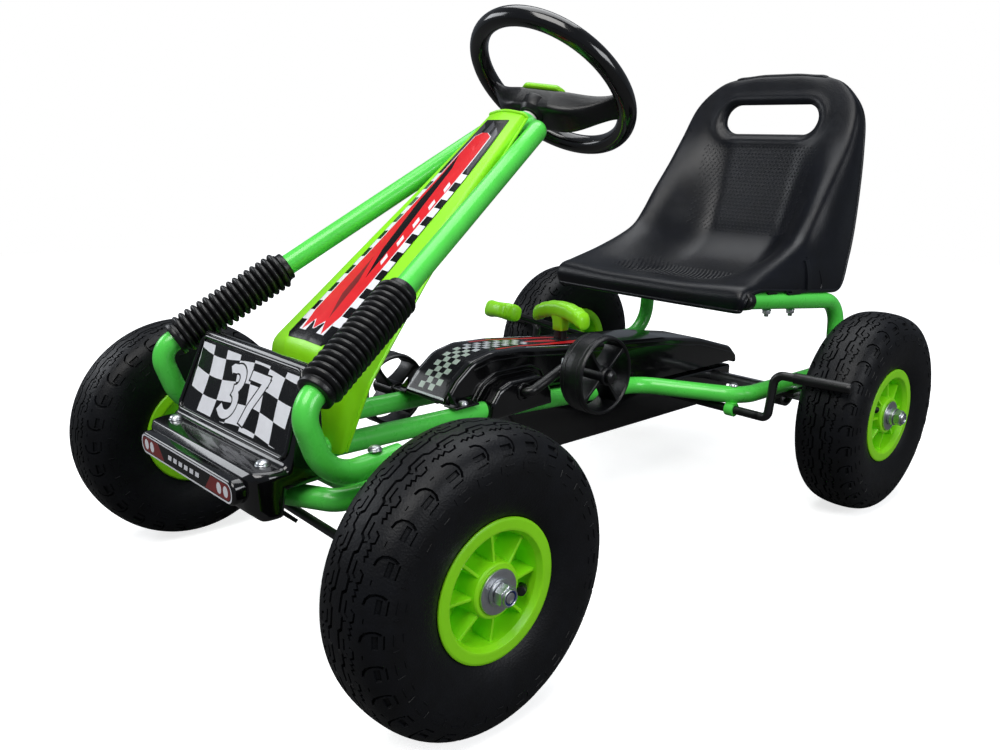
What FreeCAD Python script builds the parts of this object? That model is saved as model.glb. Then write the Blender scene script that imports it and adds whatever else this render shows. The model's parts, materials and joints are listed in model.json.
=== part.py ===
import FreeCAD, Part
import math
import os
import Sketcher
from FreeCAD import Vector as V, Placement, Rotation

os.makedirs("parts", exist_ok=True)
doc = FreeCAD.newDocument("pedal_kart")

# Driving dimensions, millimetres.  +Z up, the kart's nose points to -Y, its left side is +X.
# Coordinates are worked out about the middle of the wheelbase; "shift_y" moves the whole
# kart at the end so that the origin is under the middle of its bounding box.
DIMS = [
    ("shift_y", 25.0), ("tyre_radius", 130.0), ("tyre_half_width", 40.0), ("bead_radius", 50.7),
    ("half_base", 344.0), ("front_track_half", 260.0), ("rear_track_half", 266.0),
    ("rim_half_width", 33.0), ("rim_flange_radius", 61.0), ("hub_radius", 22.5), ("seat_bearing_radius", 14.0),
    ("frame_tube_radius", 11.0), ("tube_wall", 1.5), ("bumper_tube_radius", 10.5),
    ("stub_radius", 6.0), ("rear_axle_radius", 8.0), ("column_radius", 7.0), ("kingpin_x", 185.0),
    ("kingpin_radius", 5.0), ("crank_rod_radius", 6.0), ("crank_y", -86.0), ("crank_z", 192.5),
    ("crank_arm_y", 60.0), ("crank_arm_z", 22.0), ("pedal_radius", 45.0), ("pedal_half_width", 20.0),
    ("pedal_x", 115.0), ("wheel_rake", 46.2), ("wheel_centre_y", 10.5), ("wheel_centre_z", 531.1),
    ("steer_rim_radius", 97.9), ("steer_grip_radius", 11.1), ("brake_rod_radius", 5.5),
    ("brake_y", 200.0), ("brake_z", 135.0), ("seat_skin", 4.0), ("shell_skin", 3.0),
    ("chain_pitch", 12.7), ("running_gap", 0.05),
]
sheet = doc.addObject("Spreadsheet::Sheet", "Dimensions")
for i, (alias, value) in enumerate(DIMS):
    sheet.set("A%d" % (i + 1), alias)
    sheet.set("B%d" % (i + 1), "%g" % value)
    sheet.setAlias("B%d" % (i + 1), alias)
doc.recompute()


def S(alias):
    return float(getattr(sheet, alias))


SHIFT = S("shift_y")
nodes = {}
count = [0]


def uid(stem):
    count[0] += 1
    return "%s_%03d" % (stem, count[0])


def D(alias):
    return "Dimensions." + alias


def bind(obj, prop, value):
    """Number: set it.  Text: an expression in spreadsheet aliases."""
    if isinstance(value, str):
        obj.setExpression(prop, value)
    else:
        setattr(obj, prop, value)


def turn(direction):
    return Rotation(V(0, 0, 1), V(*direction))


def cyl(radius, height, base=(0, 0, 0), axis=(0, 0, 1)):
    o = doc.addObject("Part::Cylinder", uid("Cylinder"))
    bind(o, "Radius", radius)
    bind(o, "Height", height)
    o.Placement = Placement(V(*base), turn(axis))
    return o


def cone(r1, r2, height, base=(0, 0, 0), axis=(0, 0, 1)):
    o = doc.addObject("Part::Cone", uid("Cone"))
    bind(o, "Radius1", r1)
    bind(o, "Radius2", r2)
    bind(o, "Height", height)
    o.Placement = Placement(V(*base), turn(axis))
    return o


def box(lo, hi, rot=None, about=(0, 0, 0)):
    o = doc.addObject("Part::Box", uid("Box"))
    o.Length, o.Width, o.Height = hi[0] - lo[0], hi[1] - lo[1], hi[2] - lo[2]
    if rot is None:
        o.Placement = Placement(V(*lo), Rotation())
    else:
        o.Placement = Placement(V(*about), rot).multiply(Placement(V(*lo), Rotation()))
    return o


def ball(radius, centre):
    o = doc.addObject("Part::Sphere", uid("Sphere"))
    o.Radius = radius
    o.Placement = Placement(V(*centre), Rotation())
    return o


def cut(base, *tools):
    for t in tools:
        c = doc.addObject("Part::Cut", uid("Cut"))
        c.Base, c.Tool = base, t
        base = c
    return base


def fuse(*parts):
    f = doc.addObject("Part::MultiFuse", uid("Fusion"))
    f.Shapes = list(parts)
    return f


def group(*parts):
    """Separate solids that share one node (identical fasteners, pairs of bushes)."""
    g = doc.addObject("Part::Compound", uid("Group"))
    g.Links = list(parts)
    return g


def node(name, obj, place=None):
    obj.Label = name
    if place is not None:
        obj.Placement = place
    p = obj.Placement
    obj.Placement = Placement(V(p.Base.x, p.Base.y - SHIFT, p.Base.z), p.Rotation)
    nodes[name] = obj
    return obj


# ---- bent tubes and rods: straight runs joined by tangent arcs, swept with a circle ----
def bent_path(points, radii):
    pts = [V(*p) for p in points]
    edges, start = [], pts[0]
    for i in range(1, len(pts) - 1):
        a = (pts[i - 1] - pts[i]).normalize()
        b = (pts[i + 1] - pts[i]).normalize()
        half = math.acos(max(-1, min(1, a.dot(b)))) / 2.0
        r = radii[i - 1]
        cutback = r / math.tan(half)
        p1, p2 = pts[i] + a * cutback, pts[i] + b * cutback
        bis = (a + b).normalize()
        mid = pts[i] + bis * (r / math.sin(half) - r)
        if (p1 - start).Length > 1e-4:
            edges.append(Part.LineSegment(start, p1).toShape())
        edges.append(Part.Arc(p1, mid, p2).toShape())
        start = p2
    edges.append(Part.LineSegment(start, pts[-1]).toShape())
    return Part.Wire(edges), edges


def sweep(points, radii, radius, shorten=0.0):
    wire, edges = bent_path(points, radii)
    spine = doc.addObject("Part::Feature", uid("Centreline"))
    spine.Shape = wire
    ring = doc.addObject("Part::Circle", uid("Section"))
    bind(ring, "Radius", radius)
    d = V(*points[1]) - V(*points[0])
    ring.Placement = Placement(V(*points[0]), turn(tuple(d)))
    s = doc.addObject("Part::Sweep", uid("Sweep"))
    s.Sections = [ring]
    s.Spine = (spine, ["Edge%d" % (i + 1) for i in range(len(edges))])
    s.Solid, s.Frenet = True, False
    return s


def tube(points, radii, radius, wall="tube_wall"):
    return cut(sweep(points, radii, D(radius)), sweep(points, radii, D(radius) + " - " + D(wall)))


# ---- PartDesign helpers ----
def origin_plane(body, role):
    for f in body.Origin.OriginFeatures:
        if f.Role == role:
            return f


def new_body(stem):
    return doc.addObject("PartDesign::Body", uid(stem))


def poly_sketch(body, role, points, offset=0.0):
    """Closed polygon; every corner is held from the origin.  A coordinate may be an alias expression."""
    sk = body.newObject("Sketcher::SketchObject", uid("Sketch"))
    sk.AttachmentSupport = (origin_plane(body, role), [""])
    sk.MapMode = "FlatFace"
    sk.AttachmentOffset = Placement(V(0, 0, offset), Rotation())
    num = []
    for p in points:
        num.append(tuple(value(c) for c in p))
    n = len(num)
    for i in range(n):
        a, b = num[i], num[(i + 1) % n]
        sk.addGeometry(Part.LineSegment(V(a[0], a[1], 0), V(b[0], b[1], 0)), False)
    for i in range(n):
        sk.addConstraint(Sketcher.Constraint("Coincident", i, 2, (i + 1) % n, 1))
    for i, p in enumerate(points):
        for k, kind in ((0, "DistanceX"), (1, "DistanceY")):
            v = num[i][k]
            if abs(v) < 1e-9:
                sk.addConstraint(Sketcher.Constraint("PointOnObject", i, 1, -2 if k == 0 else -1))
            else:
                idx = sk.addConstraint(Sketcher.Constraint(kind, -1, 1, i, 1, v))
                if isinstance(p[k], str):
                    sk.setExpression("Constraints[%d]" % idx, expr(p[k]))
    return sk


def expr(text):
    out = text
    for alias in sorted((a for a, _ in DIMS), key=len, reverse=True):
        out = out.replace(alias, "\x00" + alias[::-1] + "\x01")
    while "\x00" in out:
        i, j = out.index("\x00"), out.index("\x01")
        out = out[:i] + "Dimensions." + out[i + 1:j][::-1].replace("_", "\x02") + out[j + 1:]
    return out.replace("\x02", "_")


def value(c):
    """The number behind a coordinate: a number, an alias, or 'alias + 3' / '0 - alias' style text."""
    if not isinstance(c, str):
        return float(c)
    total, sign = 0.0, 1.0
    for tok in c.split():
        if tok == "+":
            sign = 1.0
        elif tok == "-":
            sign = -1.0
        else:
            total += sign * (S(tok) if tok[0].isalpha() else float(tok))
            sign = 1.0
    return total


def revolve(body, points):
    """Profile (axial, radius) turned about the body's X axis."""
    sk = poly_sketch(body, "XZ_Plane", points)
    r = body.newObject("PartDesign::Revolution", uid("Revolution"))
    r.Profile = sk
    r.ReferenceAxis = (sk, ["H_Axis"])
    r.Angle = 360.0
    body.Tip = r
    return r


def pad(body, role, points, length, offset=0.0, midplane=False):
    sk = poly_sketch(body, role, points, offset)
    p = body.newObject("PartDesign::Pad", uid("Pad"))
    p.Profile = sk
    bind(p, "Length", length)
    if midplane:
        p.SideType = "Symmetric" if hasattr(p, "SideType") else None
        if not hasattr(p, "SideType"):
            p.Midplane = True
    body.Tip = p
    return p


def prism(points, x0, x1):
    """Side profile (Y, Z) extruded along X from x0 to x1."""
    poly = doc.addObject("Part::Polygon", uid("Profile"))
    poly.Nodes = [V(x0, y, z) for y, z in points]
    poly.Close = True
    e = doc.addObject("Part::Extrusion", uid("Extrude"))
    e.Base = poly
    e.DirMode = "Custom"
    e.Dir = V(1, 0, 0)
    e.LengthFwd = x1 - x0
    e.Solid = True
    return e


def fillet_edges(obj, radius, pick):
    """Round the edges for which pick(edge) is true."""
    doc.recompute()
    f = doc.addObject("Part::Fillet", uid("Fillet"))
    f.Base = obj
    f.Edges = [(i + 1, radius, radius) for i, e in enumerate(obj.Shape.Edges) if pick(e)]
    return f


R = "frame_tube_radius"
HB, FT, RT = S("half_base"), S("front_track_half"), S("rear_track_half")
TZ = S("tyre_radius")

# =============================== wheels ===============================
wheels = {  # name: (x, y, turned so that the dished face looks outwards)
    "front_left": (FT, -HB, 0), "front_right": (-FT, -HB, 180),
    "rear_left": (RT, HB, 0), "rear_right": (-RT, HB, 180),
}
for wname, (wx, wy, flip) in wheels.items():
    place = Placement(V(wx, wy, TZ), Rotation(V(0, 0, 1), flip))
    # tyre: outer crown, shoulders, bulged sidewall, beads on the rim, hollow inside
    b = new_body("Tyre")
    revolve(b, [(-29.1, "bead_radius"), (-29.1, 60), (-31.5, 62.4), (-35, 67), (-38.6, 82), ("0 - tyre_half_width", 97),
                (-38.5, 110), (-33, 121), (-24, 126.8), (-10, "tyre_radius - 0.6"), (0, "tyre_radius"), (10, "tyre_radius - 0.6"),
                (24, 126.8), (33, 121), (38.5, 110), ("tyre_half_width", 97), (38.6, 82), (35, 67), (31.5, 62.4), (29.1, 60),
                (29.1, "bead_radius"), (24, "bead_radius"), (25, 60), (29.5, 72), (33.4, 84), (34.6, 97),
                (33.2, 107), (28.5, 115), (20, 120.3), (0, 123), (-20, 120.3), (-28.5, 115), (-33.2, 107), (-34.6, 97),
                (-33.4, 84), (-29.5, 72), (-25, 60), (-24, "bead_radius")])
    node("tyre_" + wname, b, place)
    # rim: barrel with flanges, back web, hub with a bearing seat at each end, eight ribs
    driven = wname == "rear_left"
    br = "rear_axle_radius" if wname.startswith("rear") else "stub_radius"
    b = new_body("Rim")
    bore = br + " + 2"
    if driven:  # the driven wheel's hub is a plain bore keyed to the axle
        inner = [(-30, br), (31, br)]
    else:
        seat_r = "seat_bearing_radius + 2" if wname.startswith("rear") else "seat_bearing_radius"
        inner = [(-30, seat_r), (-22, seat_r), (-22, bore), (23, bore), (23, seat_r), (31, seat_r)]
    revolve(b, inner + [(31, "hub_radius"), (4, "hub_radius + 1"), (4, 46.5), ("rim_half_width - 3", 46.5), ("rim_half_width - 1", 48),
                        ("rim_half_width", 50), ("rim_half_width", "rim_flange_radius - 1.5"), ("rim_half_width - 1", "rim_flange_radius"),
                        ("rim_half_width - 2.6", "rim_flange_radius - 1"), (29.4, 57), (29.4, 50.4), (-29.4, 50.4), (-29.4, 57),
                        ("0 - rim_half_width + 2.6", "rim_flange_radius - 1"), ("0 - rim_half_width + 1", "rim_flange_radius"),
                        ("0 - rim_half_width", "rim_flange_radius - 1.5"), ("0 - rim_half_width", 50), (-31, 46.5), (-4, 46.5), (-4, "hub_radius + 1"),
                        (-30, "hub_radius")])
    rib = pad(b, "YZ_Plane", [("hub_radius - 1", -1.6), (47, -1.6), (47, 1.6), ("hub_radius - 1", 1.6)], 23.5, offset=3.5)
    pat = b.newObject("PartDesign::PolarPattern", uid("Ribs"))
    pat.Originals = [rib]
    pat.Axis = ([f for f in b.Origin.OriginFeatures if f.Role == "X_Axis"][0], [""])
    pat.Angle = 360.0
    pat.Occurrences = 8
    b.Tip = pat
    node("rim_" + wname, b, place)
    # valve stem through the barrel between two ribs, leaning outwards
    av = math.radians(-22.5 if wname.startswith("front") else 157.5)
    if flip:
        av = math.pi - av
    r0, r1 = 50.2, 33.0
    base = (16.0, r0 * math.cos(av), r0 * math.sin(av))
    tip = (27.0, r1 * math.cos(av), r1 * math.sin(av))
    d = tuple(t - q for t, q in zip(tip, base))
    ln = math.sqrt(sum(q * q for q in d))
    stem = fuse(cyl(2.8, ln * 0.72, base, d), cyl(4.4, 3.0, tuple(q - e / ln * 0.2 for q, e in zip(base, d)), d),
                cyl(3.6, ln * 0.36, tuple(q + e * 0.64 for q, e in zip(base, d)), d))
    node("valve_" + wname, stem, place)
    if not driven:
        ro, ri = (16.0, S("rear_axle_radius")) if wname.startswith("rear") else (S("seat_bearing_radius"), S("stub_radius"))
        rings = []
        for x0 in (-29.6, 23.0):
            rings.append(cut(cyl(ro - 0.02, 7.6, (x0, 0, 0), (1, 0, 0)), cyl(ri + S("running_gap"), 9, (x0 - 0.5, 0, 0), (1, 0, 0))))
        node("wheel_bearings_" + wname, group(*rings), place)

# =============================== frame ===============================
CY, CZ = S("crank_y"), S("crank_z")
BY, BZ = S("brake_y"), S("brake_z")
rail_pts = [(44, -378, 183), (44, -110, 175), (44, 142, 156), (163, 212, 152), (170, 437, 150), (166, 437, 251), (154, 217, 274.5)]
rail = tube(rail_pts, [400, 45, 45, 46, 38], R)
# the lug under each rail that carries the brake shaft
lug = cut(fuse(cyl(9, 12, (148, BY, BZ), (1, 0, 0)), box((148, BY - 5, BZ), (160, BY + 5, 144))),
          cyl(S("brake_rod_radius") + 0.06, 14, (147, BY, BZ), (1, 0, 0)))
node("frame_rail_left", rail)
rail_r = tube([(-x, y, z) for x, y, z in rail_pts], [400, 45, 45, 46, 38], R)
node("frame_rail_right", rail_r)
lug_r = cut(fuse(cyl(9, 12, (-160, BY, BZ), (1, 0, 0)), box((-160, BY - 5, BZ), (-148, BY + 5, 144))),
            cyl(S("brake_rod_radius") + 0.06, 14, (-161, BY, BZ), (1, 0, 0)))
# black plugs in the open front ends of the seat tubes
d0 = V(166 - 154, 437 - 212, 251 - 275).normalize()
plugs = []
for sx in (1, -1):
    dd = (sx * d0.x, d0.y, d0.z)
    p0 = (sx * 154.0, 217.0, 274.5)
    plugs.append(fuse(cyl(9.3, 16, tuple(a - b * 1.0 for a, b in zip(p0, dd)), dd), cyl(11.6, 3.2, tuple(a - b * 3.3 for a, b in zip(p0, dd)), dd)))
node("seat_tube_plugs", group(*plugs))

# front axle beam: cross tube, end forks for the kingpins, lower column sleeve, saddles
rk = math.radians(S("wheel_rake"))
n = (0.0, math.cos(rk), math.sin(rk))
a1 = (0.0, -math.sin(rk), math.cos(rk))
WC = (0.0, S("wheel_centre_y"), S("wheel_centre_z"))


def on_axis(t, u=0.0, x=0.0):
    return (x, WC[1] + t * n[1] + u * a1[1], WC[2] + t * n[2] + u * a1[2])


KX = S("kingpin_x")
beam_parts = [cut(cyl(D(R), 322, (-161, -HB, 160), (1, 0, 0)), cyl(D(R) + " - " + D("tube_wall"), 340, (-170, -HB, 160), (1, 0, 0)))]
ts = -512.0
sleeve = cyl(14, 34, on_axis(ts - 17), n)
for sx in (1, -1):
    x0, x1 = sorted((sx * 158.0, sx * 163.0))
    beam_parts.append(box((x0, -HB - 16, 94), (x1, -HB + 16, 166)))
    x0, x1 = sorted((sx * 162.0, sx * 199.0))
    beam_parts.append(box((x0, -HB - 16, 161), (x1, -HB + 16, 166)))
    beam_parts.append(box((x0, -HB - 16, 94), (x1, -HB + 16, 99)))
    x0, x1 = sorted((sx * 129.0, sx * 143.0))
    beam_parts.append(box((x0, -HB - 6, 168), (x1, -HB + 18, 181.6)))
    x0, x1 = sorted((sx * 38.0, sx * 50.0))
    beam_parts.append(box((x0, -HB - 8, 168), (x1, -HB + 8, 170.4)))
beam = fuse(*(beam_parts + [sleeve]))
beam = cut(beam, cyl(10, 44, on_axis(ts - 22), n),
           cyl(D("kingpin_radius") + " + 0.2", 100, (KX, -HB, 85), (0, 0, 1)), cyl(D("kingpin_radius") + " + 0.2", 100, (-KX, -HB, 85), (0, 0, 1)))
node("front_axle_beam", beam)
# steering supports: from the column head down through the bellows, round the nose and back
sup_pts = [(15, -38, 481), (38, -50, 479), (136.5, -420, 257), (136, -397, 190.5), (136, -320, 195)]
sup_l = tube(sup_pts, [13, 22, 42], R)
node("steering_support_left", sup_l)
node("steering_support_right", tube([(-x, y, z) for x, y, z in sup_pts], [13, 22, 42], R))
# head: sleeve for the upper column bush, between the ends of the two supports
th = -70.0
head = cut(cyl(14, 28, on_axis(th - 14), n), cyl(10, 36, on_axis(th - 18), n),
           sweep(sup_pts[:3], [13], D(R) + " + 0.2"), sweep([(-x, y, z) for x, y, z in sup_pts[:3]], [13], D(R) + " + 0.2"))
node("column_head_sleeve", head)
# lower bumper tube
bt = [(127, -356.4, 163), (124, -381, 163.5), (78, -406, 164), (-78, -406, 164), (-124, -381, 163.5), (-127, -356.4, 163)]
node("lower_bumper_tube", tube(bt, [18, 30, 30, 18], "bumper_tube_radius"))

# rear bearing housings under the rails, with ball bearings for the axle
hous, rings = [], []
for sx in (1, -1):
    x0 = 134.0 if sx > 0 else -154.0
    xt0, xt1 = (148, 178) if sx > 0 else (-178, -148)
    h = fuse(cyl(20, 20, (x0, HB, TZ), (1, 0, 0)), box((x0, HB - 30, 126), (x0 + 20, HB + 30, 138.6)),
             box((xt0, HB - 30, 133), (xt1, HB - 12, 138.6)), box((xt0, HB + 12, 133), (xt1, HB + 30, 138.6)))
    hous.append(cut(h, cyl(16, 30, (x0 - 4, HB, TZ), (1, 0, 0))))
    rings.append(cut(cyl(15.98, 11, (x0 + 4.5, HB, TZ), (1, 0, 0)), cyl(S("rear_axle_radius") + S("running_gap"), 13, (x0 + 3.5, HB, TZ), (1, 0, 0))))
node("rear_bearing_housings", group(*hous))
node("rear_axle_bearings", group(*rings))

# crank hangers (between the rails) and their bushes; column bushes share the node of nylon bushes
hang, bush = [], []
for sx in (1, -1):
    x0 = 19.0 if sx > 0 else -29.0
    h = fuse(cyl(12, 10, (x0, CY, CZ), (1, 0, 0)), box((x0 + 3, CY - 14, 164), (x0 + 8, CY + 14, CZ)))
    foot = box((x0 + 3, CY - 14, 160), (x0 + 13, CY + 14, 164)) if sx > 0 else box((x0 - 3, CY - 14, 160), (x0 + 8, CY + 14, 164))
    h = cut(fuse(h, foot), cyl(9, 14, (x0 - 2, CY, CZ), (1, 0, 0)), cyl(D(R) + " + 0.2", 60, (sx * 44, CY - 30, 175 + 0.0), (0, 1, -0.05)))
    hang.append(h)
    bush.append(cut(cyl(8.97, 12, (x0 - 1, CY, CZ), (1, 0, 0)), cyl(S("crank_rod_radius") + S("running_gap"), 14, (x0 - 2, CY, CZ), (1, 0, 0))))
node("frame_brackets", group(lug, lug_r, *hang))
for t0 in (th, ts):
    bush.append(cut(cyl(9.97, 38, on_axis(t0 - 19), n), cyl(S("column_radius") + S("running_gap"), 42, on_axis(t0 - 21), n)))
node("nylon_bushes", group(*bush))

# bellows on the supports: pleated sleeves along the straight run
A, B = V(*sup_pts[1]), V(*sup_pts[2])
run = (B - A).normalize()
s0, s1 = 283.5, 423.0
prof = [(0, 11.4), (0, 15.0), (6, 15.0), (7, 16.5)]
pleats = 17
span = (s1 - s0 - 16.0) / pleats
for i in range(pleats):
    x = 8.0 + i * span
    prof += [(x, 15.6), (x + span * 0.36, 20.0), (x + span * 0.64, 20.0)]
L = s1 - s0
prof += [(L - 8, 15.6), (L - 6, 16.2), (L, 16.2), (L, 11.4), (L - 8, 11.4), (L - 9.5, 13.0), (9.5, 13.0), (8, 11.4)]
for sx, side in ((1, "left"), (-1, "right")):
    b = new_body("Bellows")
    revolve(b, prof)
    st = A + run * s0
    dirv = V(sx * run.x, run.y, run.z)
    node("bellows_" + side, b, Placement(V(sx * st.x, st.y, st.z), Rotation(V(1, 0, 0), dirv)))

# =============================== covers ===============================
# column cover: ridged lime shell over the column, open underneath
def loft_poly(sections, ruled=True):
    objs = []
    for pts in sections:
        p = doc.addObject("Part::Polygon", uid("Profile"))
        p.Nodes = [V(*q) for q in pts]
        p.Close = True
        objs.append(p)
    lo = doc.addObject("Part::Loft", uid("Loft"))
    lo.Sections = objs
    lo.Solid, lo.Ruled = True, ruled
    return lo


def cover_section(t, up, w, drop, skirt, inset=0.0, extra=0.0):
    w2, up2 = w - inset, up - inset
    pts = [(0, up2), (w2 * 0.42, up2 - 1.5), (w2 * 0.93, up2 - drop), (w2, up2 - drop - 4)]
    low = up2 - drop - skirt - extra
    pts += [(w2, low)]
    pts += [(-x, u) for x, u in reversed(pts[1:])]
    return [on_axis(t, u, x) for x, u in pts]


cov = [(-74, 31, 21, 10, 4), (-180, 41, 31, 14, 18), (-300, 51, 44, 19, 10), (-425, 60, 58, 25, 8)]
def cover_foot(inset=0.0, down=0.0, back=0.0):
    """Lowest section of the cover: it lies square to the steep front cheek, just in front of the axle beam."""
    ux, uz = 25 / 26.25, 8 / 26.25
    y0, z0 = -343 + inset * ux + down * uz, 176 + inset * uz - down * ux
    w = 58 - inset
    pts = [(0, 0), (w * 0.42, 0.3), (w * 0.93, 2.0), (w, 5.0), (w, 12.0 + back - inset)]
    pts += [(-x, q) for x, q in reversed(pts[1:])]
    return [(x, y0 + q * ux, z0 + q * uz) for x, q in pts]


outer = loft_poly([cover_section(*c) for c in cov] + [cover_foot()])
inner = loft_poly([cover_section(*((cov[0][0] + 8,) + cov[0][1:]), inset=3, extra=40)] +
                  [cover_section(*c, inset=3, extra=40) for c in cov[1:]] + [cover_foot(3, 12, 40)])
node("column_cover", cut(outer, inner, box((-55.2, -375, 150), (55.2, -300, 197))))

# nose: moulded shell, inclined number panel, shelf, lower apron
nose_prof = [(-386.5, 282), (-419.5, 198.5), (-447, 198.5), (-452, 193), (-451, 163), (-441, 154), (-423, 154.5), (-418.5, 178), (-381, 179), (-373.5, 278)]
nose_in = [(-385.5, 278), (-416.5, 200), (-417.5, 195.5), (-446, 195.5), (-449, 192), (-448, 164.5), (-440, 157), (-426, 157.5), (-421.5, 181), (-370, 182), (-360, 278)]
no = prism(nose_prof, -110, 110)
no = fillet_edges(no, 7.0, lambda e: abs(abs(e.CenterOfMass.x) - 110) < 0.01 and e.CenterOfMass.y < -418 and e.CenterOfMass.z < 200)
def side_wedge(sx, base, top):
    """Space beside a nose that narrows upwards."""
    w = doc.addObject("Part::Polygon", uid("Profile"))
    w.Nodes = [V(sx * base, -500, 199), V(sx * top, -500, 292), V(sx * 150, -500, 292), V(sx * 150, -500, 199)]
    w.Close = True
    e = doc.addObject("Part::Extrusion", uid("Wedge"))
    e.Base, e.Dir, e.Solid = w, V(0, 160, 0), True
    return e


cavity = cut(prism(nose_in, -106.5, 106.5), side_wedge(1, 106.5, 94.0), side_wedge(-1, 106.5, 94.0))
node("nose_panel", cut(no, side_wedge(1, 110, 97.5), side_wedge(-1, 110, 97.5), cavity))
# bumper strip in front of the nose
bb = new_body("Bumper")
pad(bb, "YZ_Plane", [(-462, 172.5), (-462, 189.5), (-460, 191.5), (-452.4, 191.5), (-452.4, 170.5), (-460, 170.5)], 189, offset=-94.5)
node("bumper_strip", bb)

# upper chain cover
top = [(-183, 189.6), (-181, 196), (-166, 214), (-142, 232), (-112, 238), (-63, 235.5), (10, 226.5), (156, 213), (210, 208), (300, 193), (378, 170), (396, 154), (398, 142)]
low = [(152, 148), (144, 167.6), (60, 173.4), (-60, 183.2), (-110, 186.8)]
g_out = prism(top + low, -37, 37)
g_out = fillet_edges(g_out, 5.0, lambda e: abs(abs(e.CenterOfMass.x) - 37) < 0.01 and (e.CenterOfMass.z > 200 or e.CenterOfMass.y < -160 or e.CenterOfMass.y > 376) and e.CenterOfMass.z > 190)
top_in = [(-186, 180), (-178, 196), (-164, 211.5), (-141, 229), (-112, 235), (-63, 232.5), (10, 223.5), (156, 210), (210, 205), (300, 190), (376, 167.5), (393, 152.5), (395, 130)]
g_in = prism(top_in + [(150, 130), (0, 160), (-180, 170)], -34, 34)
bulge_prof = [(-138, 166), (-134, 186), (-122, 201), (-104, 207), (-58, 207), (-46, 201), (-38, 186), (-36, 166)]
bulge_in = [(-136, 160), (-131.5, 186), (-120, 199), (-103.5, 204.4), (-58.5, 204.4), (-48, 199), (-40.5, 186), (-38.5, 160)]
lobes = []
for x0, x1 in ((36, 60), (-60, -36)):
    a, c = (20, 57.4) if x0 > 0 else (-57.4, -20)
    lobes.append(cut(prism(bulge_prof, x0, x1), prism(bulge_in, a, c)))
ears = [box((sx * 36.5 if sx > 0 else -56, -182, 188.9), (56 if sx > 0 else -36.5, -150, 191.4)) for sx in (1, -1)]
guard = cut(g_out, g_in)
lugs = [cut(box((x0, 33, 213.2), (x0 + 4, 43, 222)), cyl(3.06, 10, (x0 - 3, 38, 217), (1, 0, 0))) for x0 in (8, -12)]
guard = fuse(guard, *(lobes + ears + lugs))
guard = cut(guard, cyl(D("crank_rod_radius") + " + 3", 160, (-80, CY, CZ), (1, 0, 0)), box((-70, CY - 9, 150), (70, CY + 9, CZ)),
            box((-6, 28, 212), (6, 48, 240)), box((-40, -150, 150), (40, -20, 170)),
            cyl(D(R) + " + 0.3", 520, (44, -378 + 0.1, 183), (0, 1, -0.02985)), cyl(D(R) + " + 0.3", 520, (-44, -378 + 0.1, 183), (0, 1, -0.02985)),
            cyl(D(R) + " + 0.3", 260, (44, -112, 175.2), (0, 1, -0.0754)), cyl(D(R) + " + 0.3", 260, (-44, -112, 175.2), (0, 1, -0.0754)))
node("chain_cover", guard)
# lower chain tray
tray_out = [(-82, 158), (-70, 142), (8, 96), (128, 93), (330, 89), (380, 97), (391, 112), (391, 139), (152, 146), (60, 158)]
tray_in = [(-90, 170), (-67, 145), (10, 99), (128, 96), (330, 92), (378, 100), (388, 113), (388, 150), (60, 175)]
tray = cut(prism(tray_out, -31, 31), prism(tray_in, -28.5, 28.5), cyl(D("rear_axle_radius") + " + 3", 80, (-40, HB, TZ), (1, 0, 0)), cyl(D("brake_rod_radius") + " + 2.5", 80, (-40, BY, BZ), (1, 0, 0)),
           box((-31.5, -100, 150), (31.5, -60, 180)))
node("chain_tray", tray)

# =============================== drive ===============================
def sprocket(teeth, bore, x_half, hub):
    """Toothed disc for roller chain, turned about X at the origin."""
    pr = S("chain_pitch") / (2 * math.sin(math.pi / teeth))
    disc = cyl(pr + 3.6, 2 * x_half, (-x_half, 0, 0), (1, 0, 0))
    tools = [cyl(4.6, 2 * x_half + 2, (-x_half - 1, pr * math.cos(2 * math.pi * i / teeth), pr * math.sin(2 * math.pi * i / teeth)), (1, 0, 0)) for i in range(teeth)]
    body = fuse(cut(disc, fuse(*tools)), cyl(hub, 4 * x_half + 6, (-2 * x_half - 3, 0, 0), (1, 0, 0)))
    return cut(body, cyl(bore, 40, (-20, 0, 0), (1, 0, 0))), pr


sp1, pr1 = sprocket(16, S("crank_rod_radius"), 1.2, 12)
node("crank_sprocket", sp1, Placement(V(0, CY, CZ), Rotation()))
sp2, pr2 = sprocket(14, S("rear_axle_radius"), 1.2, 14)
node("rear_sprocket", sp2, Placement(V(0, HB, TZ), Rotation()))
# chain: link plates and rollers as one loop band either side of the teeth
def loop(r_a, r_b, x0, x1):
    dy, dz = HB - CY, TZ - CZ
    dist = math.hypot(dy, dz)
    ang = math.atan2(dz, dy)
    beta = math.asin((r_a - r_b) / dist)
    hull = []
    for c, r, s in (((CY, CZ), r_a, 1), ((HB, TZ), r_b, 1), ((HB, TZ), r_b, -1), ((CY, CZ), r_a, -1)):
        th_ = ang + s * (math.pi / 2 - beta)
        hull.append((c[0] + r * math.cos(th_), c[1] + r * math.sin(th_)))
    return fuse(cyl(r_a, x1 - x0, (x0, CY, CZ), (1, 0, 0)), cyl(r_b, x1 - x0, (x0, HB, TZ), (1, 0, 0)), prism(hull, x0, x1))


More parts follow.
